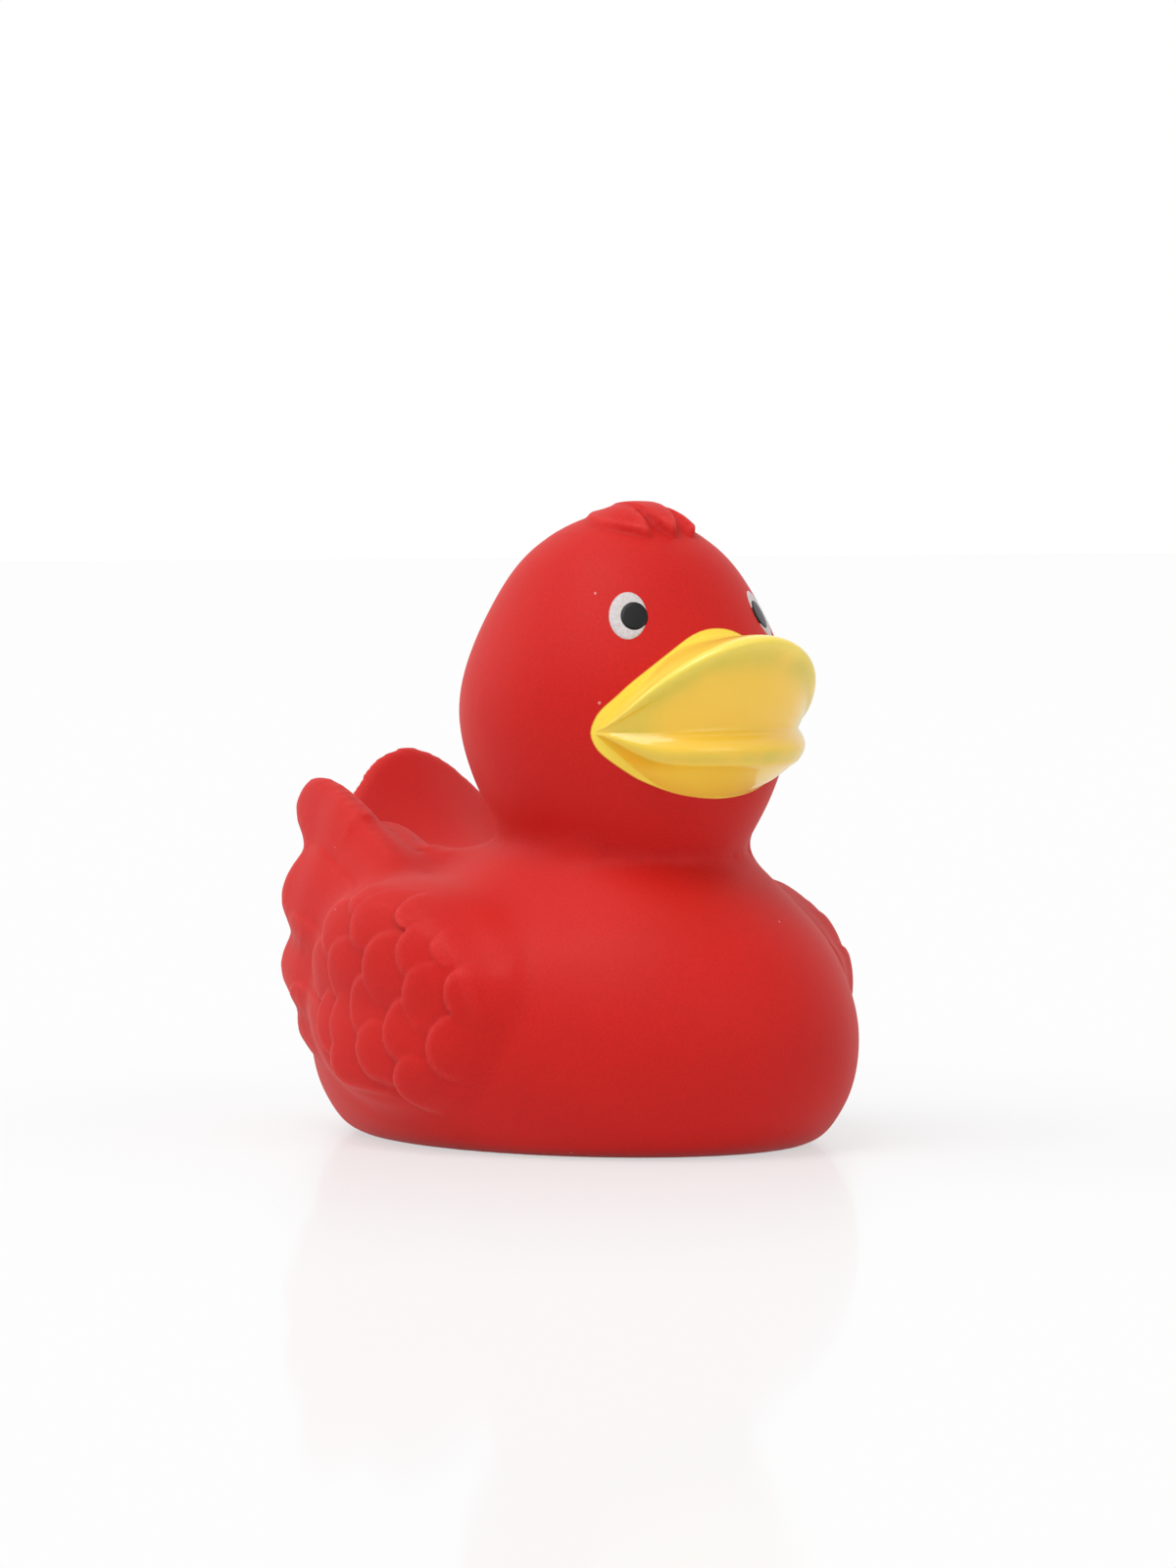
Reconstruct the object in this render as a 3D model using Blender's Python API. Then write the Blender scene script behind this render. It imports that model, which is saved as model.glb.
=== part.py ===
"""Squeaky bath duck: a hollow duck moulded in soft rubber in one piece, with a squeaker pressed into its base."""

import math
from collections import namedtuple

import bmesh
import bpy
from mathutils import Matrix, Vector
from mathutils.bvhtree import BVHTree

MM = 0.001

# Torso, about the middle of its base
BASE_LENGTH = 66.0 * MM
BASE_WIDTH = 50.0 * MM
BASE_FLAT_LENGTH = 61.4 * MM
BASE_FLAT_WIDTH = 46.5 * MM
BASE_EDGE_Z = 0.6 * MM
FLANK_LENGTH = 72.8 * MM
FLANK_WIDTH = 55.9 * MM
FLANK_Z = 4.3 * MM
BODY_LENGTH = 77.0 * MM
BODY_WIDTH = 59.5 * MM
BODY_WIDEST_Z = 13.0 * MM
SHOULDER_LENGTH = 71.0 * MM
SHOULDER_WIDTH = 54.5 * MM
SHOULDER_Z = 22.5 * MM
BACK_LENGTH = 52.5 * MM
BACK_WIDTH = 41.0 * MM
BACK_Z = 30.2 * MM

# Neck, about its own upright axis ahead of the base's middle
NECK_AHEAD = 8.5 * MM
NECK_RADIUS = 14.2 * MM
NECK_Z = 35.9 * MM
NECK_TILT = 1.7 * MM

# Head, about the neck's axis
HEAD_HEIGHT = 40.1 * MM
JOWL_RADIUS = 17.8 * MM
JOWL_Z = NECK_Z + 0.16 * HEAD_HEIGHT
HEAD_RADIUS = 20.1 * MM
HEAD_WIDEST_Z = NECK_Z + 0.40 * HEAD_HEIGHT
BROW_RADIUS = 16.6 * MM
BROW_Z = NECK_Z + 0.693 * HEAD_HEIGHT
TEMPLE_RADIUS = 11.2 * MM
TEMPLE_Z = NECK_Z + 0.885 * HEAD_HEIGHT
CROWN_Z = NECK_Z + HEAD_HEIGHT

# Crest, three petals fanned over the crown
CREST_LENGTH = 15.0 * MM
CREST_WIDTH = 7.6 * MM
CREST_THICKNESS = 3.4 * MM
CREST_BEND = 16.0 * MM
CREST_TURNS = (-20, 15, 52)
CREST_AHEAD = 3.2 * MM
CREST_SINK = 0.6 * MM

# Bill, about an upright line ahead of the neck's axis
BILL_AHEAD = 15.8 * MM
LIP_REACH = 11.2 * MM
LIP_WIDTH = 29.4 * MM
LIP_CORNER_Z = HEAD_WIDEST_Z - 0.35 * MM
LIP_ARCH = 9.0 * MM
LIP_THICKNESS = 0.9 * MM
CLEFT_REACH = 6.8 * MM
CLEFT_WIDTH = 25.0 * MM
CLEFT_Z = LIP_CORNER_Z - 1.7 * MM
LOWER_LIP_REACH = 8.4 * MM
LOWER_LIP_WIDTH = 27.4 * MM
LOWER_LIP_Z = LIP_CORNER_Z - 3.7 * MM
CHIN_REACH = 7.0 * MM
CHIN_WIDTH = 25.4 * MM
CHIN_Z = LIP_CORNER_Z - 6.2 * MM
CHIN_ROOT_Z = LIP_CORNER_Z - 11.4 * MM

# Tail, a dished fan that rises behind the neck
TAIL_MIDDLE_X = -14.0 * MM
TAIL_REACH = 22.8 * MM
TAIL_WIDTH = 28.8 * MM
TAIL_DISH_Z = 33.4 * MM
TAIL_RISE = 13.2 * MM
TAIL_FOOT_Z = 20.0 * MM
# The rim from the tip round one side to the neck, in shares of the reach, half the width and the rise
TAIL_RIM = (
    (1.000, 0.000, 1.000),
    (0.982, 0.319, 0.902),
    (0.939, 0.556, 0.720),
    (0.851, 0.792, 0.455),
    (0.658, 0.944, 0.273),
    (0.263, 1.000, 0.167),
    (-0.219, 0.931, 0.167),
    (-0.570, 0.764, 0.242),
    (-0.746, 0.417, 0.242),
    (-0.789, 0.000, 0.242),
)

# Wings, each a leaning pad that carries its feathers
PAD_LENGTH = 38.5 * MM
PAD_HEIGHT = 28.0 * MM
PAD_THICKNESS = 19.0 * MM
PAD_X = 0.2 * MM
PAD_Z = 18.3 * MM
PAD_PROUD = 1.35 * MM
PAD_OUT = BODY_WIDTH / 2 + PAD_PROUD
PAD_TILT = 15
PAD_LEAN = 15

# Shoulder that fills the valley between each pad and the back
SHOULDER_PAD_LENGTH = 40.0 * MM
SHOULDER_PAD_WIDTH = 19.0 * MM
SHOULDER_PAD_THICKNESS = 13.0 * MM
SHOULDER_PAD_X = -8.0 * MM
SHOULDER_PAD_Z = 24.6 * MM
SHOULDER_PAD_OUT = 15.5 * MM

# Swelling of the skin under each wing
WING_X = -2.0 * MM
WING_Z = 18.0 * MM
WING_LENGTH = 43.0 * MM
WING_HEIGHT = 29.0 * MM
WING_TILT = 12
WING_RISE = 1.8 * MM
GROOVE_DEPTH = 0.35 * MM

# Small feathers, rounded scales that step down from the wing's front to its back. Each row holds the tip's
# place ahead and up as shares of half the pad, its width and length as shares of a common feather's, and its turn
FEATHER_WIDTH = 8.8 * MM
FEATHER_LENGTH = 11.5 * MM
Feather = namedtuple("Feather", "ahead up width length turn")
FEATHERS = (
    Feather(0.12, 0.79, 0.80, 1.30, -4),
    Feather(0.50, 0.57, 0.84, 0.96, 12),
    Feather(0.64, 0.14, 1.02, 0.96, 10),
    Feather(0.52, -0.34, 1.02, 1.00, 10),
    Feather(0.23, -0.65, 0.84, 1.00, 12),
    Feather(0.25, 0.49, 0.95, 0.96, 12),
    Feather(0.32, 0.09, 1.07, 1.00, 12),
    Feather(0.15, -0.22, 1.00, 1.00, 8),
    Feather(-0.23, 0.69, 0.98, 1.04, 10),
    Feather(-0.05, 0.32, 1.14, 1.04, 12),
    Feather(-0.21, -0.02, 1.00, 1.00, 12),
    Feather(-0.12, -0.41, 0.91, 1.00, 8),
    Feather(-0.34, 0.88, 0.75, 1.30, 4),
    Feather(-0.57, 0.61, 1.00, 1.04, 12),
    Feather(-0.46, 0.25, 1.09, 1.00, 10),
    Feather(-0.44, -0.21, 0.98, 1.00, 8),
    Feather(-0.77, 0.24, 1.02, 1.04, 10),
    Feather(-0.64, -0.21, 1.02, 1.04, 8),
    Feather(-0.45, -0.56, 0.75, 0.91, 4),
)
FEATHER_THICKNESS = 4.0 * MM
FEATHER_LIFT = 11
FEATHER_SINK = 1.2 * MM

# Flight feathers, long paddles behind the small ones. Root and tip are placed as shares of half the pad, and
# their distance out as a share of the pad's
QUILL_WIDTH = 10.8 * MM
Quill = namedtuple("Quill", "root_ahead root_up root_out tip_ahead tip_up tip_out width roll")
QUILLS = (
    Quill(-0.32, 0.71, 0.765, -1.87, 1.64, 0.585, 0.89, 4),
    Quill(-0.37, 0.30, 0.862, -1.68, 0.94, 0.727, 1.00, 8),
    Quill(-0.32, -0.16, 0.926, -1.61, 0.34, 0.759, 1.00, 8),
    Quill(-0.22, -0.56, 0.932, -1.36, -0.21, 0.791, 0.80, 8),
)
QUILL_THICKNESS = 4.6 * MM
WEB_THICKNESS = 7.0 * MM
WEB_SINK = 0.02  # of the pad's distance out
TUCK_THICKNESS = 8.0 * MM
TUCK_SINK = 0.12  # of the pad's distance out
TUCK_DROP = 0.15  # of half the pad's height
TUCK_SHORTER = 0.25  # of the top flight feather's length
TUCK_WIDTH = 1.2  # of the top flight feather's width

# Moulding and paint
WALL = 2.4 * MM
PAINT_REACH = 0.1 * MM
RUBBER_RED = (0.62, 0.020, 0.016)
BILL_YELLOW = (0.80, 0.42, 0.040)
PLASTIC_WHITE = (0.80, 0.80, 0.77)

# Squeaker and its seat in the base
HOLE_RADIUS = 6.0 * MM
SEAT_RADIUS = 8.6 * MM
SEAT_DEPTH = 1.1 * MM
SEAT_GAP = 0.3 * MM
BARREL_RADIUS = HOLE_RADIUS - SEAT_GAP
RIM_RADIUS = SEAT_RADIUS - SEAT_GAP
CATCH_RADIUS = 7.4 * MM
CATCH_HEIGHT = 1.2 * MM
REED_TUBE_RADIUS = 4.4 * MM
REED_TUBE_TOP = 10.5 * MM
AIR_BORE_RADIUS = 2.2 * MM
AIR_HOLE_RADIUS = 1.2 * MM

# Mesh density
SKIN_COLUMNS = 72
BODY_ROWS = 24
HEAD_ROWS = 18
CAVITY_COLUMNS = 36
CAVITY_BODY_ROWS = 11
CAVITY_HEAD_ROWS = 8
BILL_COLUMNS = 52
TURNED_SIDES = 40
TAIL_STEPS = 3
KEPT_SHARE = 0.46

Ring = namedtuple("Ring", "middle front rear side z_front z_side z_rear")


def level_ring(middle, length, width, height, drop=0.0):
    """An oval ring of the skin; drop lowers its front and lifts its rear."""
    return Ring(middle, length / 2, length / 2, width / 2, height - drop, height, height + drop)


def body_rings():
    """The rings of the torso from the middle of its base to the neck."""
    return [
        level_ring(0.0, 0.0, 0.0, 0.0),
        level_ring(0.0, BASE_FLAT_LENGTH / 2, BASE_FLAT_WIDTH / 2, 0.0),
        level_ring(0.0, BASE_FLAT_LENGTH, BASE_FLAT_WIDTH, 0.0),
        level_ring(0.0, BASE_LENGTH, BASE_WIDTH, BASE_EDGE_Z),
        level_ring(0.0, FLANK_LENGTH, FLANK_WIDTH, FLANK_Z),
        level_ring(0.0, BODY_LENGTH, BODY_WIDTH, BODY_WIDEST_Z),
        level_ring(0.0, SHOULDER_LENGTH, SHOULDER_WIDTH, SHOULDER_Z),
        level_ring(0.3 * NECK_AHEAD, BACK_LENGTH, BACK_WIDTH, BACK_Z),
        level_ring(NECK_AHEAD, 2 * NECK_RADIUS, 2 * NECK_RADIUS, NECK_Z, NECK_TILT),
    ]


def head_rings():
    """The rings of the head from the neck to the crown."""
    return [
        level_ring(NECK_AHEAD, 2 * NECK_RADIUS, 2 * NECK_RADIUS, NECK_Z, NECK_TILT),
        level_ring(NECK_AHEAD, 2 * JOWL_RADIUS, 2 * JOWL_RADIUS, JOWL_Z, 0.3 * NECK_TILT),
        level_ring(NECK_AHEAD, 2 * HEAD_RADIUS, 2 * HEAD_RADIUS, HEAD_WIDEST_Z),
        level_ring(NECK_AHEAD, 2 * BROW_RADIUS, 2 * BROW_RADIUS, BROW_Z),
        level_ring(NECK_AHEAD, 2 * TEMPLE_RADIUS, 2 * TEMPLE_RADIUS, TEMPLE_Z),
        level_ring(NECK_AHEAD, 0.0, 0.0, CROWN_Z),
    ]


def inset(rings):
    """The same rings moved in by the wall's thickness, square to the skin."""
    moved = []
    for i, ring in enumerate(rings):
        below, above = rings[max(0, i - 1)], rings[min(len(rings) - 1, i + 1)]
        run, rise = above.side - below.side, above.z_side - below.z_side
        size = math.hypot(run, rise)
        level, down = WALL * rise / size, WALL * run / size
        reaches = [max(0.0, reach - level) for reach in (ring.front, ring.rear, ring.side)]
        moved.append(Ring(ring.middle, *reaches, ring.z_front + down, ring.z_side + down, ring.z_rear + down))
    return moved


def spline(rings, share, round_end):
    """The ring at share, from 0 to 1, of a smooth curve through the rings, evenly by their distance apart."""
    steps = [math.hypot(b.side - a.side, b.z_side - a.z_side) + 1e-9 for a, b in zip(rings, rings[1:])]
    along = share * sum(steps)
    i = 0
    while i < len(steps) - 1 and along > steps[i]:
        along -= steps[i]
        i += 1
    f = min(1.0, along / steps[i])

    def slope(at):
        if at == 0:
            return [(b - a) / steps[0] for a, b in zip(rings[0], rings[1])]
        if at == len(steps):
            last = [(b - a) / steps[-1] for a, b in zip(rings[-2], rings[-1])]
            return [last[0], -1.0, -1.0, -1.0, 0.0, 0.0, 0.0] if round_end else last
        before, after = steps[at - 1], steps[at]
        return [
            ((b - a) / before * after + (c - b) / after * before) / (before + after)
            for a, b, c in zip(rings[at - 1], rings[at], rings[at + 1])
        ]

    start_share, end_share = (1 + 2 * f) * (1 - f) ** 2, f * f * (3 - 2 * f)
    start_pull, end_pull = f * (1 - f) ** 2 * steps[i], f * f * (f - 1) * steps[i]
    return Ring(*[
        start_share * p + start_pull * m + end_share * q + end_pull * n
        for p, m, q, n in zip(rings[i], slope(i), rings[i + 1], slope(i + 1))
    ])


def smooth_step(value):
    f = min(1.0, max(0.0, value))
    return f * f * (3 - 2 * f)


def wing_rise(x, z):
    """How far the skin swells out under a wing, at a place along and up the duck's side."""
    tilt = math.radians(WING_TILT)
    along = (x - WING_X) * math.cos(tilt) - (z - WING_Z) * math.sin(tilt)
    up = (x - WING_X) * math.sin(tilt) + (z - WING_Z) * math.cos(tilt)
    out = math.hypot(along / (WING_LENGTH / 2), up / (WING_HEIGHT / 2))
    return WING_RISE * smooth_step((1.0 - out) / 0.2) - GROOVE_DEPTH * math.exp(-(((out - 1.0) / 0.08) ** 2))


def skin_point(ring, angle):
    """The point of a ring at an angle from the front, positive towards the duck's left."""
    ahead, aside = math.cos(angle), math.sin(angle)
    reach = ring.front if ahead > 0 else ring.rear
    end_z = ring.z_front if ahead > 0 else ring.z_rear
    x, y, z = ring.middle + reach * ahead, ring.side * aside, ring.z_side + (end_z - ring.z_side) * ahead**2
    return Vector((x, y + math.copysign(wing_rise(x, z) * smooth_step(abs(aside) / 0.4), aside), max(0.0, z)))


def closed_skin(rows):
    """A mesh from rows of points round an axis, whose first and last rows each meet in one point."""
    mesh = bmesh.new()
    first = mesh.verts.new(sum(rows[0], Vector()) / len(rows[0]))
    last = mesh.verts.new(sum(rows[-1], Vector()) / len(rows[-1]))
    rings = [[mesh.verts.new(point) for point in row] for row in rows[1:-1]]
    count = len(rings[0])
    for i in range(count):
        j = (i + 1) % count
        mesh.faces.new((first, rings[0][j], rings[0][i]))
        mesh.faces.new((last, rings[-1][i], rings[-1][j]))
        for lower, upper in zip(rings, rings[1:]):
            mesh.faces.new((lower[i], lower[j], upper[j], upper[i]))
    bmesh.ops.recalc_face_normals(mesh, faces=mesh.faces)
    return mesh


def skin_mesh(torso, head, columns, torso_rows, head_rows):
    """A closed surface through the rings of the torso and of the head."""
    angles = [2 * math.pi * (i + 0.5) / columns for i in range(columns)]
    rings = [spline(torso, i / torso_rows, False) for i in range(torso_rows)]
    rings += [spline(head, i / head_rows, True) for i in range(head_rows + 1)]
    return closed_skin([[skin_point(ring, angle) for angle in angles] for ring in rings])


def pillow(frame, length, width, thickness, segments, rings, fullness, bend=None):
    """A rounded slab along the frame's X, Y and Z; fullness squares it up, and bend is the radius it droops to."""
    mesh = bmesh.new()
    bmesh.ops.create_uvsphere(mesh, u_segments=segments, v_segments=rings, radius=1.0)
    for vert in mesh.verts:
        size = sum(abs(c) ** fullness for c in vert.co) ** (-1 / fullness)
        vert.co = Vector((vert.co.x * length / 2, vert.co.y * width / 2, vert.co.z * thickness / 2)) * size
        if bend:
            vert.co.z -= vert.co.x**2 / (2 * bend)
    bmesh.ops.transform(mesh, matrix=frame, verts=mesh.verts)
    return mesh


def frame_at(place, along, out):
    """A frame at a place with its X along a direction and its Z as near another as it can be."""
    x_axis = along.normalized()
    y_axis = out.cross(x_axis).normalized()
    z_axis = x_axis.cross(y_axis)
    turned = Matrix((x_axis, y_axis, z_axis)).transposed()
    return Matrix.Translation(place) @ turned.to_4x4()


def turned(degrees, axis):
    return Matrix.Rotation(math.radians(degrees), 4, axis)


def pad_mesh():
    """The pad of the duck's right wing."""
    frame = frame_at(Vector((PAD_X, PAD_THICKNESS / 2 - PAD_OUT, PAD_Z)), Vector((-1, 0, 0)), Vector((0, -1, 0)))
    frame = frame @ turned(-PAD_LEAN, "X") @ turned(-PAD_TILT, "Z")
    return pillow(frame, PAD_LENGTH, PAD_HEIGHT, PAD_THICKNESS, 36, 16, 2.2)


def shoulder_mesh():
    """The shoulder that joins the right wing's pad to the back."""
    place = Vector((SHOULDER_PAD_X, -SHOULDER_PAD_OUT, SHOULDER_PAD_Z))
    frame = frame_at(place, Vector((-1, 0, 0.16)), Vector((0, -0.5, 1)))
    return pillow(frame, SHOULDER_PAD_LENGTH, SHOULDER_PAD_WIDTH, SHOULDER_PAD_THICKNESS, 28, 12, 2.3)


def pad_place(ahead, up, out):
    """A place on the right wing from shares of half the pad's length and height, and a distance out."""
    return Vector((PAD_X + ahead * PAD_LENGTH / 2, -out, PAD_Z + up * PAD_HEIGHT / 2))


def feather_mesh(feather, surface):
    """A small feather laid on the right wing, its tip a little proud of the one behind it."""
    heading = Vector((-math.cos(math.radians(feather.turn)), 0, math.sin(math.radians(feather.turn))))
    length = feather.length * FEATHER_LENGTH
    middle = pad_place(feather.ahead, feather.up, 0) - heading * length / 2
    place, out, _, _ = surface.ray_cast(middle + Vector((0, -0.1, 0)), Vector((0, 1, 0)))
    frame = frame_at(place - out * FEATHER_SINK, heading - out * heading.dot(out), out) @ turned(-FEATHER_LIFT, "Y")
    return pillow(frame, length, feather.width * FEATHER_WIDTH, FEATHER_THICKNESS, 15, 8, 2.2)


def quill_mesh(quill, thickness):
    """A flight feather of the right wing, or the web behind two of them."""
    root = pad_place(quill.root_ahead, quill.root_up, quill.root_out * PAD_OUT - thickness / 2)
    tip = pad_place(quill.tip_ahead, quill.tip_up, quill.tip_out * PAD_OUT - thickness / 2)
    frame = frame_at((root + tip) / 2, tip - root, Vector((0, -1, 0.2))) @ turned(quill.roll, "X")
    return pillow(frame, (tip - root).length, quill.width * QUILL_WIDTH, thickness, 24, 10, 2.8)


def web_between(upper, lower):
    """The membrane that fills the gap behind two neighbouring flight feathers."""
    ends = [(a + b) / 2 for a, b in zip(upper[:6], lower[:6])]
    ends[3] += (ends[0] - ends[3]) * 0.07
    ends[5] -= WEB_SINK
    ends[2] -= WEB_SINK
    return Quill(*ends, 0.9 * (upper.width + lower.width) / 2, upper.roll)


def tuck_behind(quill):
    """The membrane that fills the gap between the top flight feather and the tail."""
    ends = list(quill[:6])
    for i in (3, 4):
        ends[i] += (ends[i - 3] - ends[i]) * TUCK_SHORTER
    for i in (1, 4):
        ends[i] -= TUCK_DROP
    for i in (2, 5):
        ends[i] -= TUCK_SINK
    return Quill(*ends, TUCK_WIDTH * quill.width, quill.roll)


def crest_mesh(turn):
    """One petal of the crest."""
    heading = Vector((math.cos(math.radians(turn)), math.sin(math.radians(turn)), 0))
    place = Vector((NECK_AHEAD, 0, CROWN_Z - CREST_SINK)) + heading * CREST_AHEAD
    frame = frame_at(place, heading - Vector((0, 0, 0.22)), Vector((0, 0, 1)))
    return pillow(frame, CREST_LENGTH, CREST_WIDTH, CREST_THICKNESS, 16, 8, 2.2, CREST_BEND)


def bill_mesh():
    """The closed bill, whose back lies inside the head."""
    rows = (
        (LIP_REACH - 14 * MM, 0.62 * LIP_WIDTH, LIP_CORNER_Z + 1.6 * MM, 0.94 * LIP_ARCH),
        (LIP_REACH - 7 * MM, 0.90 * LIP_WIDTH, LIP_CORNER_Z + 0.7 * MM, LIP_ARCH),
        (LIP_REACH - 1.8 * MM, LIP_WIDTH - 1.6 * MM, LIP_CORNER_Z + LIP_THICKNESS, LIP_ARCH),
        (LIP_REACH - 0.4 * MM, LIP_WIDTH - 0.5 * MM, LIP_CORNER_Z + 0.7 * LIP_THICKNESS, LIP_ARCH),
        (LIP_REACH, LIP_WIDTH, LIP_CORNER_Z, LIP_ARCH),
        (LIP_REACH - 0.5 * MM, LIP_WIDTH - 1.0 * MM, LIP_CORNER_Z - LIP_THICKNESS, LIP_ARCH),
        (0.62 * LIP_REACH + 0.38 * CLEFT_REACH + 0.3 * MM, 0.60 * LIP_WIDTH + 0.40 * CLEFT_WIDTH,
         0.6 * LIP_CORNER_Z + 0.4 * CLEFT_Z - 0.3 * MM, 0.72 * LIP_ARCH),
        (0.25 * LIP_REACH + 0.75 * CLEFT_REACH + 0.6 * MM, 0.25 * LIP_WIDTH + 0.75 * CLEFT_WIDTH + 0.5 * MM,
         0.25 * LIP_CORNER_Z + 0.75 * CLEFT_Z - 0.1 * MM, 0.28 * LIP_ARCH),
        (CLEFT_REACH, CLEFT_WIDTH, CLEFT_Z, 0.6 * MM),
        (0.4 * CLEFT_REACH + 0.6 * LOWER_LIP_REACH, 0.4 * CLEFT_WIDTH + 0.6 * LOWER_LIP_WIDTH,
         CLEFT_Z - 0.35 * MM, 0.5 * MM),
        (LOWER_LIP_REACH - 0.3 * MM, LOWER_LIP_WIDTH - 0.5 * MM, CLEFT_Z - 0.9 * MM, 0.3 * MM),
        (LOWER_LIP_REACH, LOWER_LIP_WIDTH, LOWER_LIP_Z, 0.0),
        (LOWER_LIP_REACH - 0.4 * MM, LOWER_LIP_WIDTH - 0.5 * MM, 0.5 * (LOWER_LIP_Z + CHIN_Z), 0.0),
        (CHIN_REACH, CHIN_WIDTH, CHIN_Z + 0.4 * MM, -0.4 * MM),
        (CHIN_REACH - 7 * MM, 0.8 * CHIN_WIDTH, CHIN_ROOT_Z + 4.6 * MM, -3.6 * MM),
        (CHIN_REACH - 14 * MM, 0.5 * CHIN_WIDTH, CHIN_ROOT_Z + 4.0 * MM, -3.0 * MM),
    )
    points = []
    for number, (front, width, height, arch) in enumerate(rows):
        middle = min(0.0, front - 4 * MM)
        back = min(-10 * MM, middle - 3 * MM)
        back_z = LIP_CORNER_Z + 3 * MM - number * 0.8 * MM
        row = []
        for i in range(BILL_COLUMNS):
            angle = 2 * math.pi * (i + 0.5) / BILL_COLUMNS
            ahead = math.cos(angle)
            row.append(Vector((
                NECK_AHEAD + BILL_AHEAD + middle + (front - middle if ahead > 0 else middle - back) * ahead,
                width / 2 * math.sin(angle),
                height + (arch * ahead**1.5 if ahead > 0 else (height - back_z) * ahead),
            )))
        points.append(row)
    top, bottom = points[0], points[-1]
    points = [[sum(top, Vector()) / len(top)] * 2] + points + [[sum(bottom, Vector()) / len(bottom)] * 2]
    return closed_skin(points)


def smooth_path(points, steps):
    """Points along a smooth curve through the given ones, steps to each span, level with its mirror at both ends."""
    across = Vector((1, -1, 1))
    ends = [points[1] * across] + points + [points[-2] * across]
    path = []
    for a, b, c, d in zip(ends, ends[1:], ends[2:], ends[3:]):
        for i in range(steps):
            f = i / steps
            path.append(0.5 * (2 * b + (c - a) * f + (2 * a - 5 * b + 4 * c - d) * f**2 + (3 * b - a - 3 * c + d) * f**3))
    return path + [points[-1]]


def tail_mesh():
    """The tail: a cup whose walls rise out of the back to a fan-shaped rim round a dished upper face."""
    half = smooth_path([Vector((
        TAIL_MIDDLE_X - back * TAIL_REACH, aside * TAIL_WIDTH / 2, TAIL_DISH_Z + rise * TAIL_RISE,
    )) for back, aside, rise in TAIL_RIM], TAIL_STEPS)
    rim = half + [Vector((point.x, -point.y, point.z)) for point in reversed(half[1:-1])]
    middle = Vector((TAIL_MIDDLE_X, 0, TAIL_DISH_Z))
    rows = []
    for share, climb in ((0.0, 0.0), (0.80, 0.0), (0.83, 0.30), (0.90, 0.68)):
        rows.append([Vector((
            middle.x + (point.x - middle.x) * share, point.y * share, TAIL_FOOT_Z + (point.z - TAIL_FOOT_Z) * climb,
        )) for point in rim])
    for share, drop in ((0.975, 1.9 * MM), (1.0, 0.8 * MM), (0.985, 0.1 * MM), (0.945, 0.0)):
        rows.append([Vector((
            middle.x + (point.x - middle.x) * share, point.y * share, point.z - drop,
        )) for point in rim])
    for share in (0.87, 0.76, 0.62, 0.44, 0.22, 0.0):
        rows.append([Vector((
            middle.x + (point.x - middle.x) * share, point.y * share, middle.z + (point.z - middle.z) * share**2.2,
        )) for point in rim])
    return closed_skin(rows)


def turned_mesh(profile):
    """A closed solid turned about the base's upright axis from (radius, height) points."""
    mesh = bmesh.new()
    rows = []
    for i in range(TURNED_SIDES):
        angle = 2 * math.pi * i / TURNED_SIDES
        rows.append([mesh.verts.new((r * math.cos(angle), r * math.sin(angle), z)) for r, z in profile])
    for this, following in zip(rows, rows[1:] + rows[:1]):
        for i in range(len(profile)):
            j = (i + 1) % len(profile)
            mesh.faces.new((this[i], following[i], following[j], this[j]))
    bmesh.ops.remove_doubles(mesh, verts=mesh.verts, dist=0.001 * MM)
    bmesh.ops.dissolve_degenerate(mesh, edges=mesh.edges, dist=0.001 * MM)
    bmesh.ops.recalc_face_normals(mesh, faces=mesh.faces)
    return mesh


def mirrored(mesh):
    """A copy of a mesh on the duck's other side."""
    copy = mesh.copy()
    bmesh.ops.scale(copy, vec=(1, -1, 1), verts=copy.verts)
    bmesh.ops.reverse_faces(copy, faces=copy.faces)
    return copy


def add_object(name, mesh):
    bmesh.ops.triangulate(mesh, faces=mesh.faces)
    data = bpy.data.meshes.new(name)
    mesh.to_mesh(data)
    mesh.free()
    made = bpy.data.objects.new(name, data)
    bpy.context.scene.collection.objects.link(made)
    return made


def material(name, colour, roughness):
    """A plain material; none of the duck's is metallic."""
    made = bpy.data.materials.new(name)
    made.use_nodes = True
    shader = made.node_tree.nodes["Principled BSDF"]
    shader.inputs["Base Color"].default_value = (*colour, 1)
    shader.inputs["Roughness"].default_value = roughness
    shader.inputs["Metallic"].default_value = 0
    return made


def finish(target, materials, sharp_angle):
    """Gives a part its materials and its shading."""
    for each in materials:
        target.data.materials.append(each)
    target.data.shade_smooth()
    target.data.set_sharp_from_angle(angle=math.radians(sharp_angle))


def paint_bill(target, bill_surface):
    """The bill's faces take the second material."""
    for face in target.data.polygons:
        place, _, _, distance = bill_surface.find_nearest(face.center)
        if distance < PAINT_REACH and place.x > NECK_AHEAD + 8 * MM:
            face.material_index = 1


def combine(target, meshes, operation, kept_share=1.0):
    """Joins meshes to the target, or cuts them from it, thins out its triangles and keeps only the result."""
    helpers = [add_object("helper", mesh) for mesh in meshes]
    for helper in helpers:
        step = target.modifiers.new("step", "BOOLEAN")
        step.operation = operation
        step.solver = "MANIFOLD"
        step.object = helper
    if kept_share < 1:
        thinning = target.modifiers.new("thinning", "DECIMATE")
        thinning.ratio = kept_share
    graph = bpy.context.evaluated_depsgraph_get()
    result = bpy.data.meshes.new_from_object(target.evaluated_get(graph))
    target.modifiers.clear()
    target.data = result
    for helper in helpers:
        bpy.data.objects.remove(helper)


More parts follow.
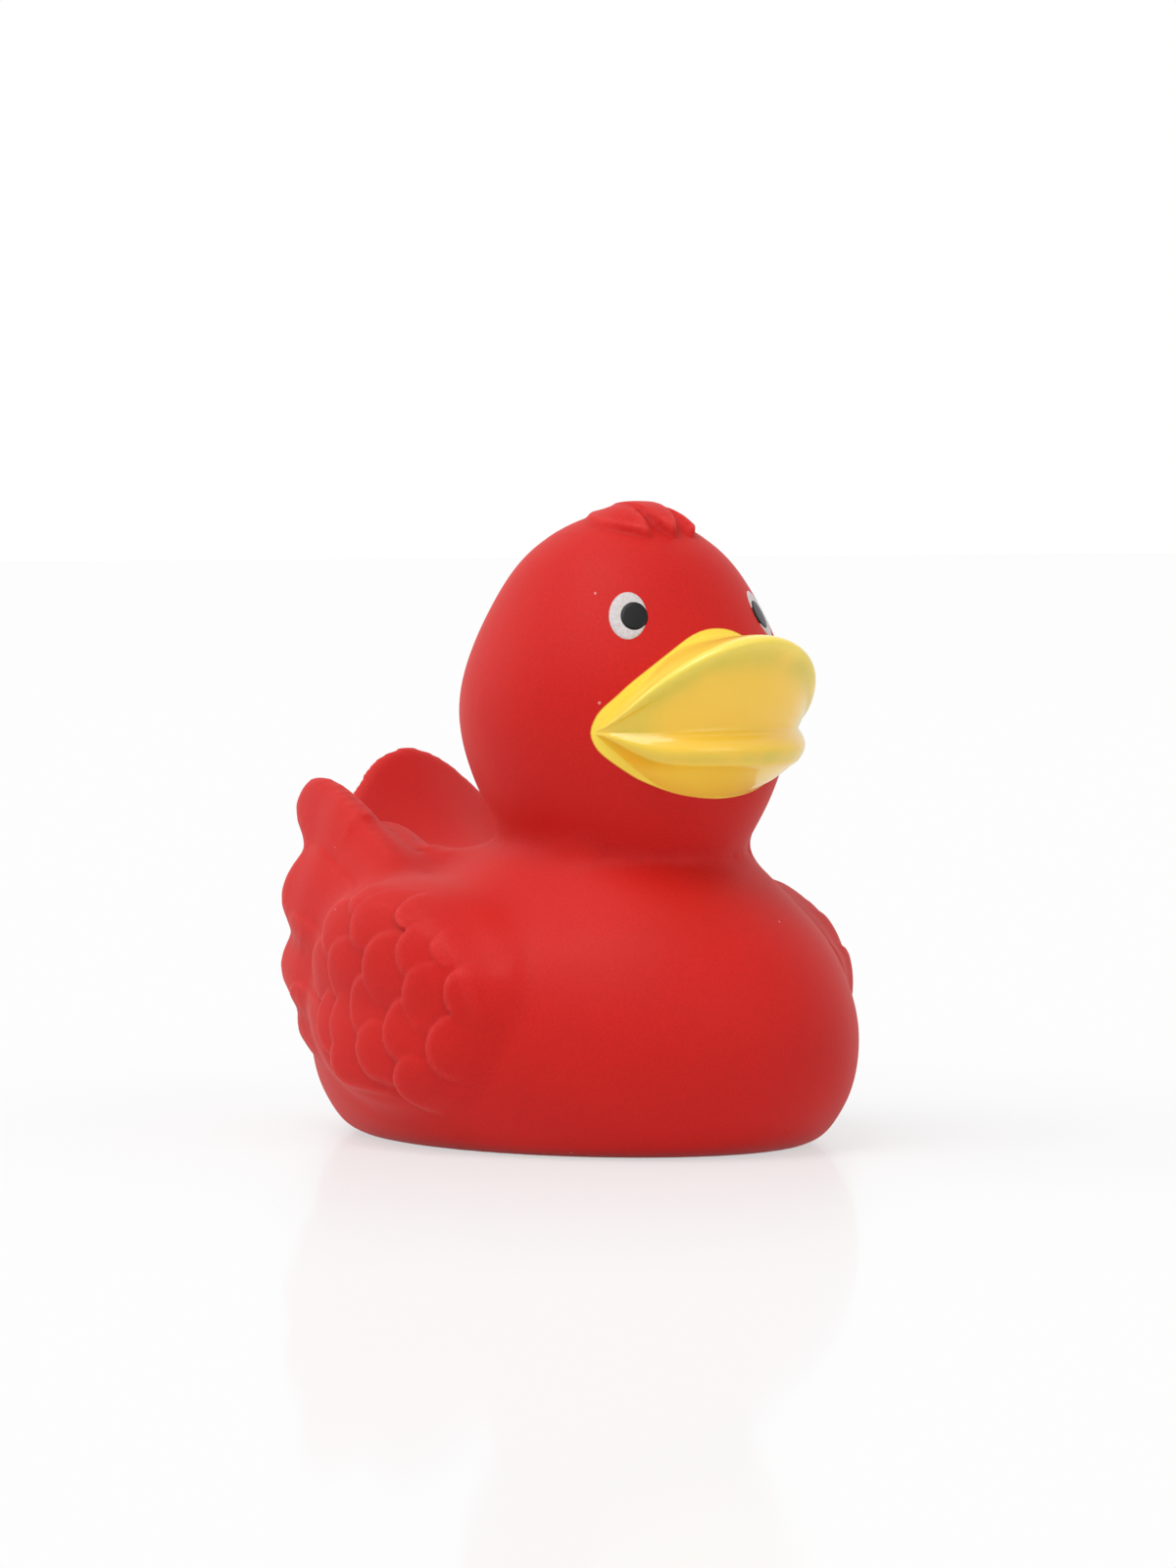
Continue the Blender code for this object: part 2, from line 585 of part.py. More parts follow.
def main():
    for old in list(bpy.data.objects):
        bpy.data.objects.remove(old)

    body = add_object("duck_body", skin_mesh(body_rings(), head_rings(), SKIN_COLUMNS, BODY_ROWS, HEAD_ROWS))
    pad = pad_mesh()
    wing_surface = bmesh.new()
    for mesh in (skin_mesh(body_rings(), head_rings(), SKIN_COLUMNS, BODY_ROWS, HEAD_ROWS), pad):
        copied = bpy.data.meshes.new("surface")
        mesh.to_mesh(copied)
        wing_surface.from_mesh(copied)
    surface = BVHTree.FromBMesh(wing_surface)
    webs = [web_between(upper, lower) for upper, lower in zip(QUILLS, QUILLS[1:])]
    wing = [pad, shoulder_mesh()] + [quill_mesh(web, WEB_THICKNESS) for web in webs]
    wing += [quill_mesh(quill, QUILL_THICKNESS) for quill in QUILLS]
    wing.append(quill_mesh(tuck_behind(QUILLS[0]), TUCK_THICKNESS))
    wing += [feather_mesh(feather, surface) for feather in FEATHERS]
    bill = bill_mesh()
    bill_surface = BVHTree.FromBMesh(bill)
    pieces = [tail_mesh(), bill] + [crest_mesh(turn) for turn in CREST_TURNS]
    combine(body, pieces + wing + [mirrored(mesh) for mesh in wing], "UNION", KEPT_SHARE)

    cavity = skin_mesh(inset(body_rings()), inset(head_rings()), CAVITY_COLUMNS, CAVITY_BODY_ROWS, CAVITY_HEAD_ROWS)
    seat = turned_mesh(((0, -1 * MM), (SEAT_RADIUS, -1 * MM), (SEAT_RADIUS, SEAT_DEPTH), (HOLE_RADIUS, SEAT_DEPTH),
                        (HOLE_RADIUS, 2 * WALL), (0, 2 * WALL)))
    combine(body, [cavity, seat], "DIFFERENCE")
    finish(body, [material("red_rubber", RUBBER_RED, 0.45), material("bill_paint", BILL_YELLOW, 0.25)], 50)
    paint_bill(body, bill_surface)

    floor_gap = WALL + SEAT_GAP
    squeaker = add_object("squeaker", turned_mesh((
        (AIR_HOLE_RADIUS, SEAT_GAP), (RIM_RADIUS, SEAT_GAP), (RIM_RADIUS, SEAT_DEPTH - 0.2 * MM),
        (BARREL_RADIUS, SEAT_DEPTH - 0.2 * MM), (BARREL_RADIUS, floor_gap), (CATCH_RADIUS, floor_gap),
        (REED_TUBE_RADIUS + 0.6 * MM, floor_gap + CATCH_HEIGHT), (REED_TUBE_RADIUS, floor_gap + CATCH_HEIGHT),
        (REED_TUBE_RADIUS, REED_TUBE_TOP), (AIR_BORE_RADIUS, REED_TUBE_TOP), (AIR_BORE_RADIUS, 2 * SEAT_DEPTH),
        (AIR_HOLE_RADIUS, 2 * SEAT_DEPTH),
    )))
    finish(squeaker, [material("white_plastic", PLASTIC_WHITE, 0.35)], 35)


if __name__ == "__main__":
    main()
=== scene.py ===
"""Dresses the squeaky bath duck: a soft red rubber moulding with painted bill and eyes, on a pale floor.

Laid out as an add-on whose operators each make one piece. Run as a script, it makes them all.
"""

import math
from collections import namedtuple

import bmesh
import bpy
from mathutils import Matrix, Vector
from mathutils.bvhtree import BVHTree


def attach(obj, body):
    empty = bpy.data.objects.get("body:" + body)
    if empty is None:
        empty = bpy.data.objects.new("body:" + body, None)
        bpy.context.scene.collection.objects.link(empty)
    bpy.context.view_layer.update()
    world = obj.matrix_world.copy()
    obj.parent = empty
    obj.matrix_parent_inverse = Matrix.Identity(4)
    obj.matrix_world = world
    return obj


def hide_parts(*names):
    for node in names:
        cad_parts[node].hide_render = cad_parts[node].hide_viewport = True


bl_info = {
    "name": "Bath duck",
    "version": (1, 0, 0),
    "blender": (4, 5, 0),
    "location": "3D View > Sidebar > Duck",
    "description": "Makes a moulded rubber bath duck with a painted bill and eyes",
    "category": "Object",
}

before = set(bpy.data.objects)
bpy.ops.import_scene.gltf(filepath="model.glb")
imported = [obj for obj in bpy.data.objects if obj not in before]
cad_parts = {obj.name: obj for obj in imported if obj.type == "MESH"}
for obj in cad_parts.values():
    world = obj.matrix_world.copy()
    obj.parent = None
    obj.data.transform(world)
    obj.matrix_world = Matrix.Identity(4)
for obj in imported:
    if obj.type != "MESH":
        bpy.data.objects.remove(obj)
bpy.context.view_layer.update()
MM = 0.001

Ring = namedtuple("Ring", "middle front rear side z_front z_side z_rear")
Quill = namedtuple("Quill", "root_x root_z root_out tip_x tip_z tip_out width roll")
Spot = namedtuple("Spot", "turn height proud")

# Torso, base to neck: middle, length, width, height and drop of the front of each level ring, in millimetres
TORSO = (
    (0.0, 0.0, 0.0, 0.0, 0.0),
    (0.0, 30.7, 23.25, 0.0, 0.0),
    (0.0, 61.4, 46.5, 0.0, 0.0),
    (0.0, 66.0, 50.0, 0.6, 0.0),
    (0.0, 72.8, 55.9, 4.3, 0.0),
    (0.0, 77.0, 59.5, 13.0, 0.0),
    (0.0, 71.0, 54.5, 22.5, 0.0),
    (2.55, 52.5, 41.0, 30.2, 0.0),
    (8.5, 28.4, 28.4, 35.9, 1.7),
)
# Head, neck to crown, in the same terms
HEAD = (
    (8.5, 28.4, 28.4, 35.9, 1.7),
    (8.5, 35.6, 35.6, 42.4, 0.5),
    (8.5, 40.2, 40.2, 52.0, 0.0),
    (8.5, 33.2, 33.2, 63.7, 0.0),
    (8.5, 22.4, 22.4, 71.4, 0.0),
    (8.5, 0.0, 0.0, 76.0, 0.0),
)
NECK_AHEAD = 8.5 * MM
CROWN_Z = 76.0 * MM
# Share of the skin's rows that lies on the torso
TORSO_SHARE = 0.57

# Rim of the tail from its tip round its left side to the neck, in millimetres
TAIL_RIM = (
    (-36.8, 0.0, 46.6), (-36.4, 4.6, 45.3), (-35.4, 8.0, 42.9), (-33.4, 11.4, 39.4), (-29.0, 13.6, 37.0),
    (-20.0, 14.4, 35.6), (-9.0, 13.4, 35.6), (-1.0, 11.0, 36.6), (3.0, 6.0, 36.6), (4.0, 0.0, 36.6),
)
TAIL_MIDDLE = (-14.0, 33.4)
TAIL_FOOT_Z = 20.0
# Wall of the tail, foot to lip: share of the rim's reach, share of the climb to the rim, drop in millimetres
TAIL_WALL = (
    (0.0, 0.0, 0.0), (0.80, 0.0, 0.0), (0.83, 0.30, 0.0), (0.90, 0.66, 0.0), (0.955, 0.9, 0.4),
    (0.985, 1.0, 1.2), (1.0, 1.0, 0.6), (0.985, 1.0, 0.15), (0.95, 1.0, 0.0),
)
# Share of the tail's rows that lies on its wall, reach of the dish inside the lip, and how flat the dish is
TAIL_WALL_SHARE = 0.6
TAIL_DISH = 0.95
TAIL_FLATNESS = 2.2

# Petals of the crest: turn of the tip from straight ahead in degrees, and the side to which the petal bows
PETALS = ((-20, -1), (0, 0), (20, 1))
# Body of a petal in millimetres: length, width, thickness, radius to which it droops, and where it starts
PETAL_SIZE = (13.0, 7.0, 3.0)
PETAL_DROOP = 16.0
PETAL_SUNK = 1.2
PETAL_AHEAD = 2.5
# Raised form of a petal in millimetres: reach of its tip, its root, bow, half width and width of its edge
PETAL_REACH = 9.4
PETAL_ROOT = -4.0
PETAL_BOW = 2.0
PETAL_HALF_WIDTH = 2.7
PETAL_EDGE = 0.9
SIDE_PETAL_RISE = 0.75

# Small feathers of the right wing: tip ahead, tip height, width, length, and rise towards the tail
FEATHERS = (
    (2.5, 29.3, 7.0, 15.0, -4), (9.8, 26.3, 7.4, 11.0, 12), (12.6, 20.2, 9.0, 11.0, 10),
    (10.2, 13.6, 9.0, 11.5, 10), (4.6, 9.2, 7.4, 11.5, 12), (5.0, 25.2, 8.4, 11.0, 12),
    (6.3, 19.6, 9.4, 11.5, 12), (3.0, 15.2, 8.8, 11.5, 8), (-4.2, 28.0, 8.6, 12.0, 10),
    (-0.8, 22.8, 10.0, 12.0, 12), (-3.8, 18.0, 8.8, 11.5, 12), (-2.2, 12.6, 8.0, 11.5, 8),
    (-6.4, 30.6, 6.6, 15.0, 4), (-10.8, 26.8, 8.8, 12.0, 12), (-8.7, 21.8, 9.6, 11.5, 10),
    (-8.3, 15.4, 8.6, 11.5, 8), (-14.6, 21.6, 9.0, 12.0, 10), (-12.2, 15.4, 9.0, 12.0, 8),
    (-8.4, 10.4, 6.6, 10.5, 4),
)
# Flight feathers of the right wing: root, tip (ahead, height, out), width and roll
QUILLS = (
    (-6.0, 28.2, 23.8, -35.8, 41.2, 18.2, 9.6, 4),
    (-7.0, 22.5, 26.8, -32.2, 31.4, 22.6, 11.4, 8),
    (-6.0, 16.0, 28.8, -30.8, 23.0, 23.6, 11.4, 8),
    (-4.0, 10.5, 29.0, -26.0, 15.4, 24.6, 9.0, 8),
)
# Feather tucked behind the top flight feather, in the same terms
TUCK = (-6.0, 25.8, 21.9, -28.0, 34.7, 15.9, 11.5, 4)
QUILL_THICKNESS = 4.6 * MM
TUCK_THICKNESS = 8.0 * MM
# Webs between flight feathers: thickness, how far in they lie, share cut off the tip, share of both widths
WEB_THICKNESS = 7.0 * MM
WEB_SINK = 0.5 * MM
WEB_SHORTER = 0.07
WEB_WIDTH = 0.45

# Pad of the right wing and the shoulder that joins it to the back: middle and size in millimetres
PAD_MIDDLE = (1.2, -21.4, 18.0)
PAD_SIZE = (41.0, 27.5, 19.0)
PAD_LEAN = -15
PAD_TURN = -15
SHOULDER_MIDDLE = (-8.0, -15.5, 24.6)
SHOULDER_SIZE = (40.0, 19.0, 13.0)

# Oval of a wing on the duck's side: its middle, half length, half height and tilt
WING_X = -2.0 * MM
WING_Z = 18.0 * MM
WING_HALF_LENGTH = 21.5 * MM
WING_HALF_HEIGHT = 14.5 * MM
WING_TILT = math.radians(12)
# Share of the oval over which the skin swells out, and the crease round it: depth and spread
SWELLING_FADE = 0.25
WING_CREASE = 0.22 * MM
WING_CREASE_SPREAD = 0.12
# Share of the oval over which the small feathers fade in from its rim
FEATHER_FADE = 0.14
# Raised form of the flight feathers: height and edge as shares of the small ones', start, end and fade
QUILL_RISE = 0.5
QUILL_EDGE = 0.7
QUILL_START = -12
QUILL_END = -29
QUILL_FADE = 6

# Direction in which the right wing's feathers are raised, and how squarely a place has to face that side
FEATHER_LEAN = (0.05, -1, 0.12)
FACING_LEAST = 0.15
FACING_FADE = 0.25

# Regions of the skin, as limits ahead, up and to either side in millimetres, and share of the wing's oval
VALLEYS = (((-12, 18), (22, 39), (8, 29)), ((-20, 18), (22, 39), (16, 29)))
WING_REGION = ((-38, 26), (4, 46), (12, 40))
FINE_ASIDE = 15
FINE_WING = 0.96
FINE_QUILLS = ((-34, -12), (0, 60), (FINE_ASIDE, 40))
# Line of the flight feathers on the duck's side: height at the middle, slope, and reach to either side of it
QUILL_LINE_Z = 21.5 * MM
QUILL_LINE_SLOPE = 0.4
QUILL_LINE_REACH = 14 * MM
# Heights in millimetres: the base and crest that stay unsmoothed, the raised petals and their finer mesh
SMOOTHED_Z = (0.3, 73)
PETALS_Z = 70
FINE_CREST_Z = 72.5
VALLEY_PASSES = 60

# Painted shade and highlight from the skin's bend: its scale, passes that spread it, and gains of ridges and
# creases
BEND_SCALE = 0.26 * MM
BEND_PASSES = 4
RIDGE_GAIN = 8
RIDGE_START = 0.08
CREASE_GAIN = 7
MOST_MARK = 0.8

# Bill, from brow over lips to chin: reach ahead, width, height and arch of each row, in millimetres
BILL_ROWS = (
    (-2.8, 18.2, 53.2, 8.5),
    (4.2, 26.5, 52.3, 9.0),
    (9.2, 27.8, 52.5, 9.0),
    (10.8, 28.9, 52.25, 9.0),
    (11.2, 29.4, 51.6, 9.0),
    (10.7, 28.4, 50.7, 9.0),
    (9.3, 27.4, 50.8, 6.2),
    (8.0, 26.6, 50.3, 2.9),
    (7.1, 26.0, 49.9, 0.9),
    (7.6, 26.5, 49.3, 0.5),
    (8.4, 27.1, 48.6, 0.3),
    (8.9, 27.6, 47.7, 0.1),
    (8.3, 27.1, 46.6, 0.0),
    (7.0, 25.4, 45.8, -0.4),
    (0.0, 20.3, 44.8, -3.6),
    (-7.0, 12.7, 44.2, -3.0),
)
# Row at the foremost edge of the upper lip
UPPER_LIP = 4
# Middle of the bill ahead of the neck's, and the corners of the mouth: full width and height, in millimetres
BILL_AHEAD = 15.8
MOUTH_WIDTH = 29.8
MOUTH_Z = 50.0

# Edge of the bill's paint on the head, from brow to chin: distance aside and height, in millimetres
PAINT_EDGE = (
    (0.0, 62.1), (3.5, 61.4), (7.5, 59.0), (11.2, 56.2), (13.2, 54.2), (14.5, 52.7), (15.1, 51.4),
    (15.3, 50.0), (14.9, 48.6), (14.0, 47.3), (12.0, 45.6), (9.6, 44.1), (5.4, 42.6), (0.0, 42.0),
)
PAINT_STEPS = 52
# Furthest that a place's distance from the edge of the paint is followed, in millimetres
PAINT_REACH = 3.0

# Eyes: turn of each oval from straight ahead in degrees, its height, and how proud it stands, in millimetres
EYE_WHITE = Spot(37.4, 63.7, 0.10)
PUPIL = Spot(34.9, 63.6, 0.16)
EYE_REACH = 16.6
EYE_TILT = 0.42
EYE_PAINT = 0.5 * MM

# Outlines in millimetres, as radius and height: the squeaker's seat in the base, and the squeaker
SEAT = ((0, -1), (8.6, -1), (8.6, 1.1), (6.0, 1.1), (6.0, 4.8), (0, 4.8))
WHISTLE = (
    (1.2, 0.3), (8.3, 0.3), (8.3, 0.9), (5.7, 0.9), (5.7, 2.7), (7.4, 2.7), (5.0, 3.9), (4.4, 3.9),
    (4.4, 10.5), (2.2, 10.5), (2.2, 2.2), (1.2, 2.2),
)

# Lamps: name, place, side of its square in metres, and power as a share of the key light
LAMPS = (
    ("softbox", (0.10, -0.45, 0.95), 0.6, 1.0),
    ("side panel", (-0.75, -0.55, 0.45), 0.7, 0.30),
    ("front panel", (0.9, 0.1, 0.5), 0.6, 0.22),
)
LAMP_AIM_Z = 0.035
# How far to the right of the duck's middle the camera aims, in millimetres
AIM_ASIDE = 0.71


def size(name, default, description, maximum=1.0):
    return bpy.props.FloatProperty(
        name=name, description=description, default=default, min=0.0, max=maximum, subtype="DISTANCE",
        unit="LENGTH", precision=5,
    )


def colour(name, default, description):
    return bpy.props.FloatVectorProperty(
        name=name, description=description, default=default, size=3, min=0.0, max=1.0, subtype="COLOR",
    )


def bearing(name, degrees, description):
    return bpy.props.FloatProperty(
        name=name, description=description, default=math.radians(degrees), subtype="ANGLE",
    )


def amount(name, default, description, minimum=0.0):
    return bpy.props.FloatProperty(name=name, description=description, default=default, min=minimum)


class DuckSkinSettings(bpy.types.PropertyGroup):
    """Sizes and colours of the rubber moulding."""

    grain: size("Skin detail", 0.68 * MM, "Edge length of the finished skin's faces")
    softness: bpy.props.IntProperty(
        name="Softness", description="Smoothing passes over the creases", default=8, min=0,
    )
    wall: size("Wall", 2.4 * MM, "Thickness of the moulded rubber")
    feather_step: size("Feather step", 1.7 * MM, "How far each small feather's tip stands out")
    petal_step: size("Petal step", 1.3 * MM, "How far the crest's petals stand out of the crown")
    feather_edge: size("Feather edge", 0.6 * MM, "Width over which a feather's rim falls away")
    wing_rise: size("Wing swelling", 1.8 * MM, "How far the skin swells out under a wing")
    red: colour("Rubber red", (0.64, 0.010, 0.006), "Colour of the rubber in even light")
    # Paler red painted on the ridges as a highlight
    ridge_highlight_red: colour("Rubbed red", (0.80, 0.05, 0.045), "Paler colour of the edges that are rubbed")
    # Darker red for the grain's darker tone and for painted shade in the creases
    grain_and_shade_red: colour("Crease red", (0.40, 0.004, 0.003), "Colour that settles in the creases")


class DuckPaintSettings(bpy.types.PropertyGroup):
    """Sizes and colours of the painted bill and eyes."""

    yellow: colour("Bill yellow", (1.0, 0.75, 0.080), "Colour of the bill's paint")
    # Darker, more orange copy of the bill's yellow: painted shade under the upper lip
    shaded_front_yellow: colour("Front yellow", (0.98, 0.60, 0.028), "Paler paint inside the bill")
    smudge: colour("Smudge", (0.62, 0.56, 0.030), "Greenish film along the lips")
    eye_white: colour("Eye white", (0.68, 0.62, 0.62), "Colour of the eyes' white ovals")
    eye_black: colour("Pupil", (0.006, 0.006, 0.007), "Colour of the pupils")
    eye_width: size("Eye width", 4.5 * MM, "Width of each white oval")
    eye_height: size("Eye height", 6.2 * MM, "Height of each white oval")
    pupil_width: size("Pupil width", 3.3 * MM, "Width of each pupil")
    pupil_height: size("Pupil height", 3.8 * MM, "Height of each pupil")


class DuckStageSettings(bpy.types.PropertyGroup):
    """Camera and light of the studio."""

    azimuth: bearing("Camera azimuth", 52, "Turn of the camera from the duck's right side towards its front")
    elevation: bearing("Camera elevation", 2.5, "Height of the camera above level")
    distance: size("Camera distance", 0.8, "From the camera to the duck", 5.0)
    aim_height: size("Aim height", 42.8 * MM, "Height of the picture's middle above the floor")
    lens: amount("Lens", 151.2, "Focal length in millimetres", 1.0)
    key: amount("Key light", 5.6, "Power of the overhead softbox")
    fill: amount("Surround", 0.55, "Strength of the white surround")


# Shapes


def ring(middle, length, width, height, drop):
    return Ring(*[v * MM for v in (
        middle, length / 2, length / 2, width / 2, height - drop, height, height + drop,
    )])


def inset(rings, wall):
    """The same rings moved in by the wall's thickness, square to the skin."""
    moved = []
    for i, each in enumerate(rings):
        below, above = rings[max(0, i - 1)], rings[min(len(rings) - 1, i + 1)]
        run, rise = above.side - below.side, above.z_side - below.z_side
        span = math.hypot(run, rise)
        level, down = wall * rise / span, wall * run / span
        reaches = [max(0.0, reach - level) for reach in (each.front, each.rear, each.side)]
        heights = [height + down for height in (each.z_front, each.z_side, each.z_rear)]
        moved.append(Ring(each.middle, *reaches, *heights))
    return moved


def spline(rings, along_share, round_end):
    """The ring at a share, from 0 to 1, of a smooth curve through rings, paced by their distance apart."""
    steps = [math.hypot(b.side - a.side, b.z_side - a.z_side) + 1e-9 for a, b in zip(rings, rings[1:])]
    along = along_share * sum(steps)
    i = 0
    while i < len(steps) - 1 and along > steps[i]:
        along -= steps[i]
        i += 1
    f = min(1.0, along / steps[i])

    def slope(at):
        if at == 0:
            return [(b - a) / steps[0] for a, b in zip(rings[0], rings[1])]
        if at == len(steps):
            last = [(b - a) / steps[-1] for a, b in zip(rings[-2], rings[-1])]
            return [last[0], -1.0, -1.0, -1.0, 0.0, 0.0, 0.0] if round_end else last
        before, after = steps[at - 1], steps[at]
        return [
            ((b - a) / before * after + (c - b) / after * before) / (before + after)
            for a, b, c in zip(rings[at - 1], rings[at], rings[at + 1])
        ]

    start_share, end_share = (1 + 2 * f) * (1 - f) ** 2, f * f * (3 - 2 * f)
    start_pull, end_pull = f * (1 - f) ** 2 * steps[i], f * f * (f - 1) * steps[i]
    return Ring(*[
        start_share * p + start_pull * m + end_share * q + end_pull * n
        for p, m, q, n in zip(rings[i], slope(i), rings[i + 1], slope(i + 1))
    ])


def smooth_step(value):
    f = min(1.0, max(0.0, value))
    return f * f * (3 - 2 * f)


def band(value, middle, spread):
    """A soft band that is 1 at its middle and fades away over its spread."""
    return math.exp(-(((value - middle) / spread) ** 2))


def wing_reach(x, z):
    """How far a place on the duck's side lies from the middle of the wing's oval, as a share of its reach."""
    ahead, above = x - WING_X, z - WING_Z
    along = ahead * math.cos(WING_TILT) - above * math.sin(WING_TILT)
    up = ahead * math.sin(WING_TILT) + above * math.cos(WING_TILT)
    return math.hypot(along / WING_HALF_LENGTH, up / WING_HALF_HEIGHT)


def wing_swelling(x, z, rise):
    """How far the skin swells out under a wing, at a place along and up the duck's side."""
    out = wing_reach(x, z)
    return rise * smooth_step((1.0 - out) / SWELLING_FADE) - WING_CREASE * band(out, 1.0, WING_CREASE_SPREAD)


def skin_point(at, angle, rise):
    """The point of a ring at an angle from the front, positive towards the duck's left."""
    ahead, aside = math.cos(angle), math.sin(angle)
    reach = at.front if ahead > 0 else at.rear
    end_z = at.z_front if ahead > 0 else at.z_rear
    x, y, z = at.middle + reach * ahead, at.side * aside, at.z_side + (end_z - at.z_side) * ahead**2
    out = wing_swelling(x, z, rise) * smooth_step(abs(aside) / 0.4)
    return Vector((x, y + math.copysign(out, aside), max(0.0, z)))


def within(place, ahead, height, aside):
    """Whether a place keeps between the limits ahead, up and to either side, in millimetres."""
    return (
        ahead[0] * MM < place.x < ahead[1] * MM and height[0] * MM < place.z < height[1] * MM
        and aside[0] * MM < abs(place.y) < aside[1] * MM
    )


def moulded(columns, rows, point_at):
    """A sphere whose points are pulled to point_at(share of the way up, angle round the axis)."""
    mesh = bmesh.new()
    bmesh.ops.create_uvsphere(mesh, u_segments=columns, v_segments=rows, radius=1.0)
    for vert in mesh.verts:
        level = 1 - math.acos(max(-1.0, min(1.0, vert.co.z))) / math.pi
        vert.co = point_at(level, math.atan2(vert.co.y, vert.co.x))
    bmesh.ops.recalc_face_normals(mesh, faces=mesh.faces)
    return mesh


def skin_mesh(columns, rows, rise, wall=0.0):
    """The plain skin of torso and head, or the hollow a wall's thickness inside it."""
    torso, head = [ring(*row) for row in TORSO], [ring(*row) for row in HEAD]
    if wall:
        torso, head = inset(torso, wall), inset(head, wall)
    known = {}

    def point_at(level, angle):
        level = round(level, 6)
        if level not in known:
            low = level < TORSO_SHARE
            known[level] = (
                spline(torso, level / TORSO_SHARE, False) if low
                else spline(head, (level - TORSO_SHARE) / (1 - TORSO_SHARE), True)
            )
        return skin_point(known[level], angle, rise)

    return moulded(columns, rows, point_at)


def smooth_path(points, f, ends=None):
    """The point at a share f, from 0 to 1, of a smooth curve through the given ones."""
    first, last = ends or (2 * points[0] - points[1], 2 * points[-1] - points[-2])
    ends = [first] + points + [last]
    i = min(len(points) - 2, int(f * (len(points) - 1)))
    f = f * (len(points) - 1) - i
    a, b, c, d = ends[i:i + 4]
    return 0.5 * (2 * b + (c - a) * f + (2 * a - 5 * b + 4 * c - d) * f**2 + (3 * b - a - 3 * c + d) * f**3)


def tail_mesh():
    """The tail: a cup whose walls rise out of the back to a fan-shaped rim round a dished upper face."""
    rim = [Vector(point) * MM for point in TAIL_RIM]
    across = Vector((1, -1, 1))
    beyond = (rim[1] * across, rim[-2] * across)
    middle = Vector((TAIL_MIDDLE[0], 0, TAIL_MIDDLE[1])) * MM
    foot_z = TAIL_FOOT_Z * MM
    profile = [Vector((spread, climb, drop * MM)) for spread, climb, drop in TAIL_WALL]

    def point_at(level, angle):
        from_tip = abs((angle + 2 * math.pi) % (2 * math.pi) - math.pi) / math.pi
        edge = smooth_path(rim, min(1.0, from_tip), beyond)
        edge.y = math.copysign(edge.y, math.sin(angle))
        if level < TAIL_WALL_SHARE:
            spread, climb, drop = smooth_path(profile, level / TAIL_WALL_SHARE)
            height = foot_z + (edge.z - foot_z) * climb - drop
        else:
            spread = TAIL_DISH * (1 - (level - TAIL_WALL_SHARE) / (1 - TAIL_WALL_SHARE))
            height = middle.z + (edge.z - middle.z) * (spread / TAIL_DISH) ** TAIL_FLATNESS
        return Vector((middle.x + (edge.x - middle.x) * spread, edge.y * spread, height))

    return moulded(96, 60, point_at)


def pillow(frame, length, width, thickness, columns, rows, fullness, bend=None):
    """A rounded slab along the frame's axes; fullness squares it up, and bend is the radius it droops to."""
    mesh = bmesh.new()
    bmesh.ops.create_uvsphere(mesh, u_segments=columns, v_segments=rows, radius=1.0)
    for vert in mesh.verts:
        stretch = sum(abs(c) ** fullness for c in vert.co) ** (-1 / fullness)
        x, y, z = vert.co
        vert.co = Vector((x * length / 2, y * width / 2, z * thickness / 2)) * stretch
        if bend:
            vert.co.z -= vert.co.x**2 / (2 * bend)
    bmesh.ops.transform(mesh, matrix=frame, verts=mesh.verts)
    return mesh


def frame_at(place, along, out):
    """A frame at a place with its X along a direction and its Z as near another as it can be."""
    x_axis = along.normalized()
    y_axis = out.cross(x_axis).normalized()
    z_axis = x_axis.cross(y_axis)
    return Matrix.Translation(place) @ Matrix((x_axis, y_axis, z_axis)).transposed().to_4x4()


def turned(degrees, axis):
    return Matrix.Rotation(math.radians(degrees), 4, axis)


def pad_meshes():
    """The leaning pad of the duck's right wing, and the shoulder that joins it to the back."""
    frame = frame_at(Vector(PAD_MIDDLE) * MM, Vector((-1, 0, 0)), Vector((0, -1, 0)))
    frame = frame @ turned(PAD_LEAN, "X") @ turned(PAD_TURN, "Z")
    pad = pillow(frame, *[v * MM for v in PAD_SIZE], columns=64, rows=32, fullness=2.25)
    frame = frame_at(Vector(SHOULDER_MIDDLE) * MM, Vector((-1, 0, 0.16)), Vector((0, -0.5, 1)))
    return [pad, pillow(frame, *[v * MM for v in SHOULDER_SIZE], columns=48, rows=24, fullness=2.3)]


def quill_mesh(quill, thickness):
    """A flight feather of the right wing, or a web between two of them."""
    root = Vector((quill.root_x, thickness / 2 - quill.root_out, quill.root_z))
    tip = Vector((quill.tip_x, thickness / 2 - quill.tip_out, quill.tip_z))
    frame = frame_at((root + tip) / 2, tip - root, Vector((0, -1, 0.2))) @ turned(quill.roll, "X")
    return pillow(frame, (tip - root).length, quill.width, thickness, columns=48, rows=24, fullness=2.8)


def quill_meshes():
    """The flight feathers of the right wing, the feather tucked behind the top one, and the webs."""
    *quills, tuck = [Quill(*[v * MM for v in row[:7]], row[7]) for row in (*QUILLS, TUCK)]
    made = [quill_mesh(quill, QUILL_THICKNESS) for quill in quills]
    made.append(quill_mesh(tuck, TUCK_THICKNESS))
    for upper, lower in zip(quills, quills[1:]):
        web = Quill(*[(a + b) / 2 for a, b in zip(upper, lower)])
        web = web._replace(
            root_out=web.root_out - WEB_SINK, tip_out=web.tip_out - WEB_SINK,
            tip_x=web.tip_x + (web.root_x - web.tip_x) * WEB_SHORTER,
            width=WEB_WIDTH * (upper.width + lower.width), roll=upper.roll,
        )
        made.append(quill_mesh(web, WEB_THICKNESS))
    return made


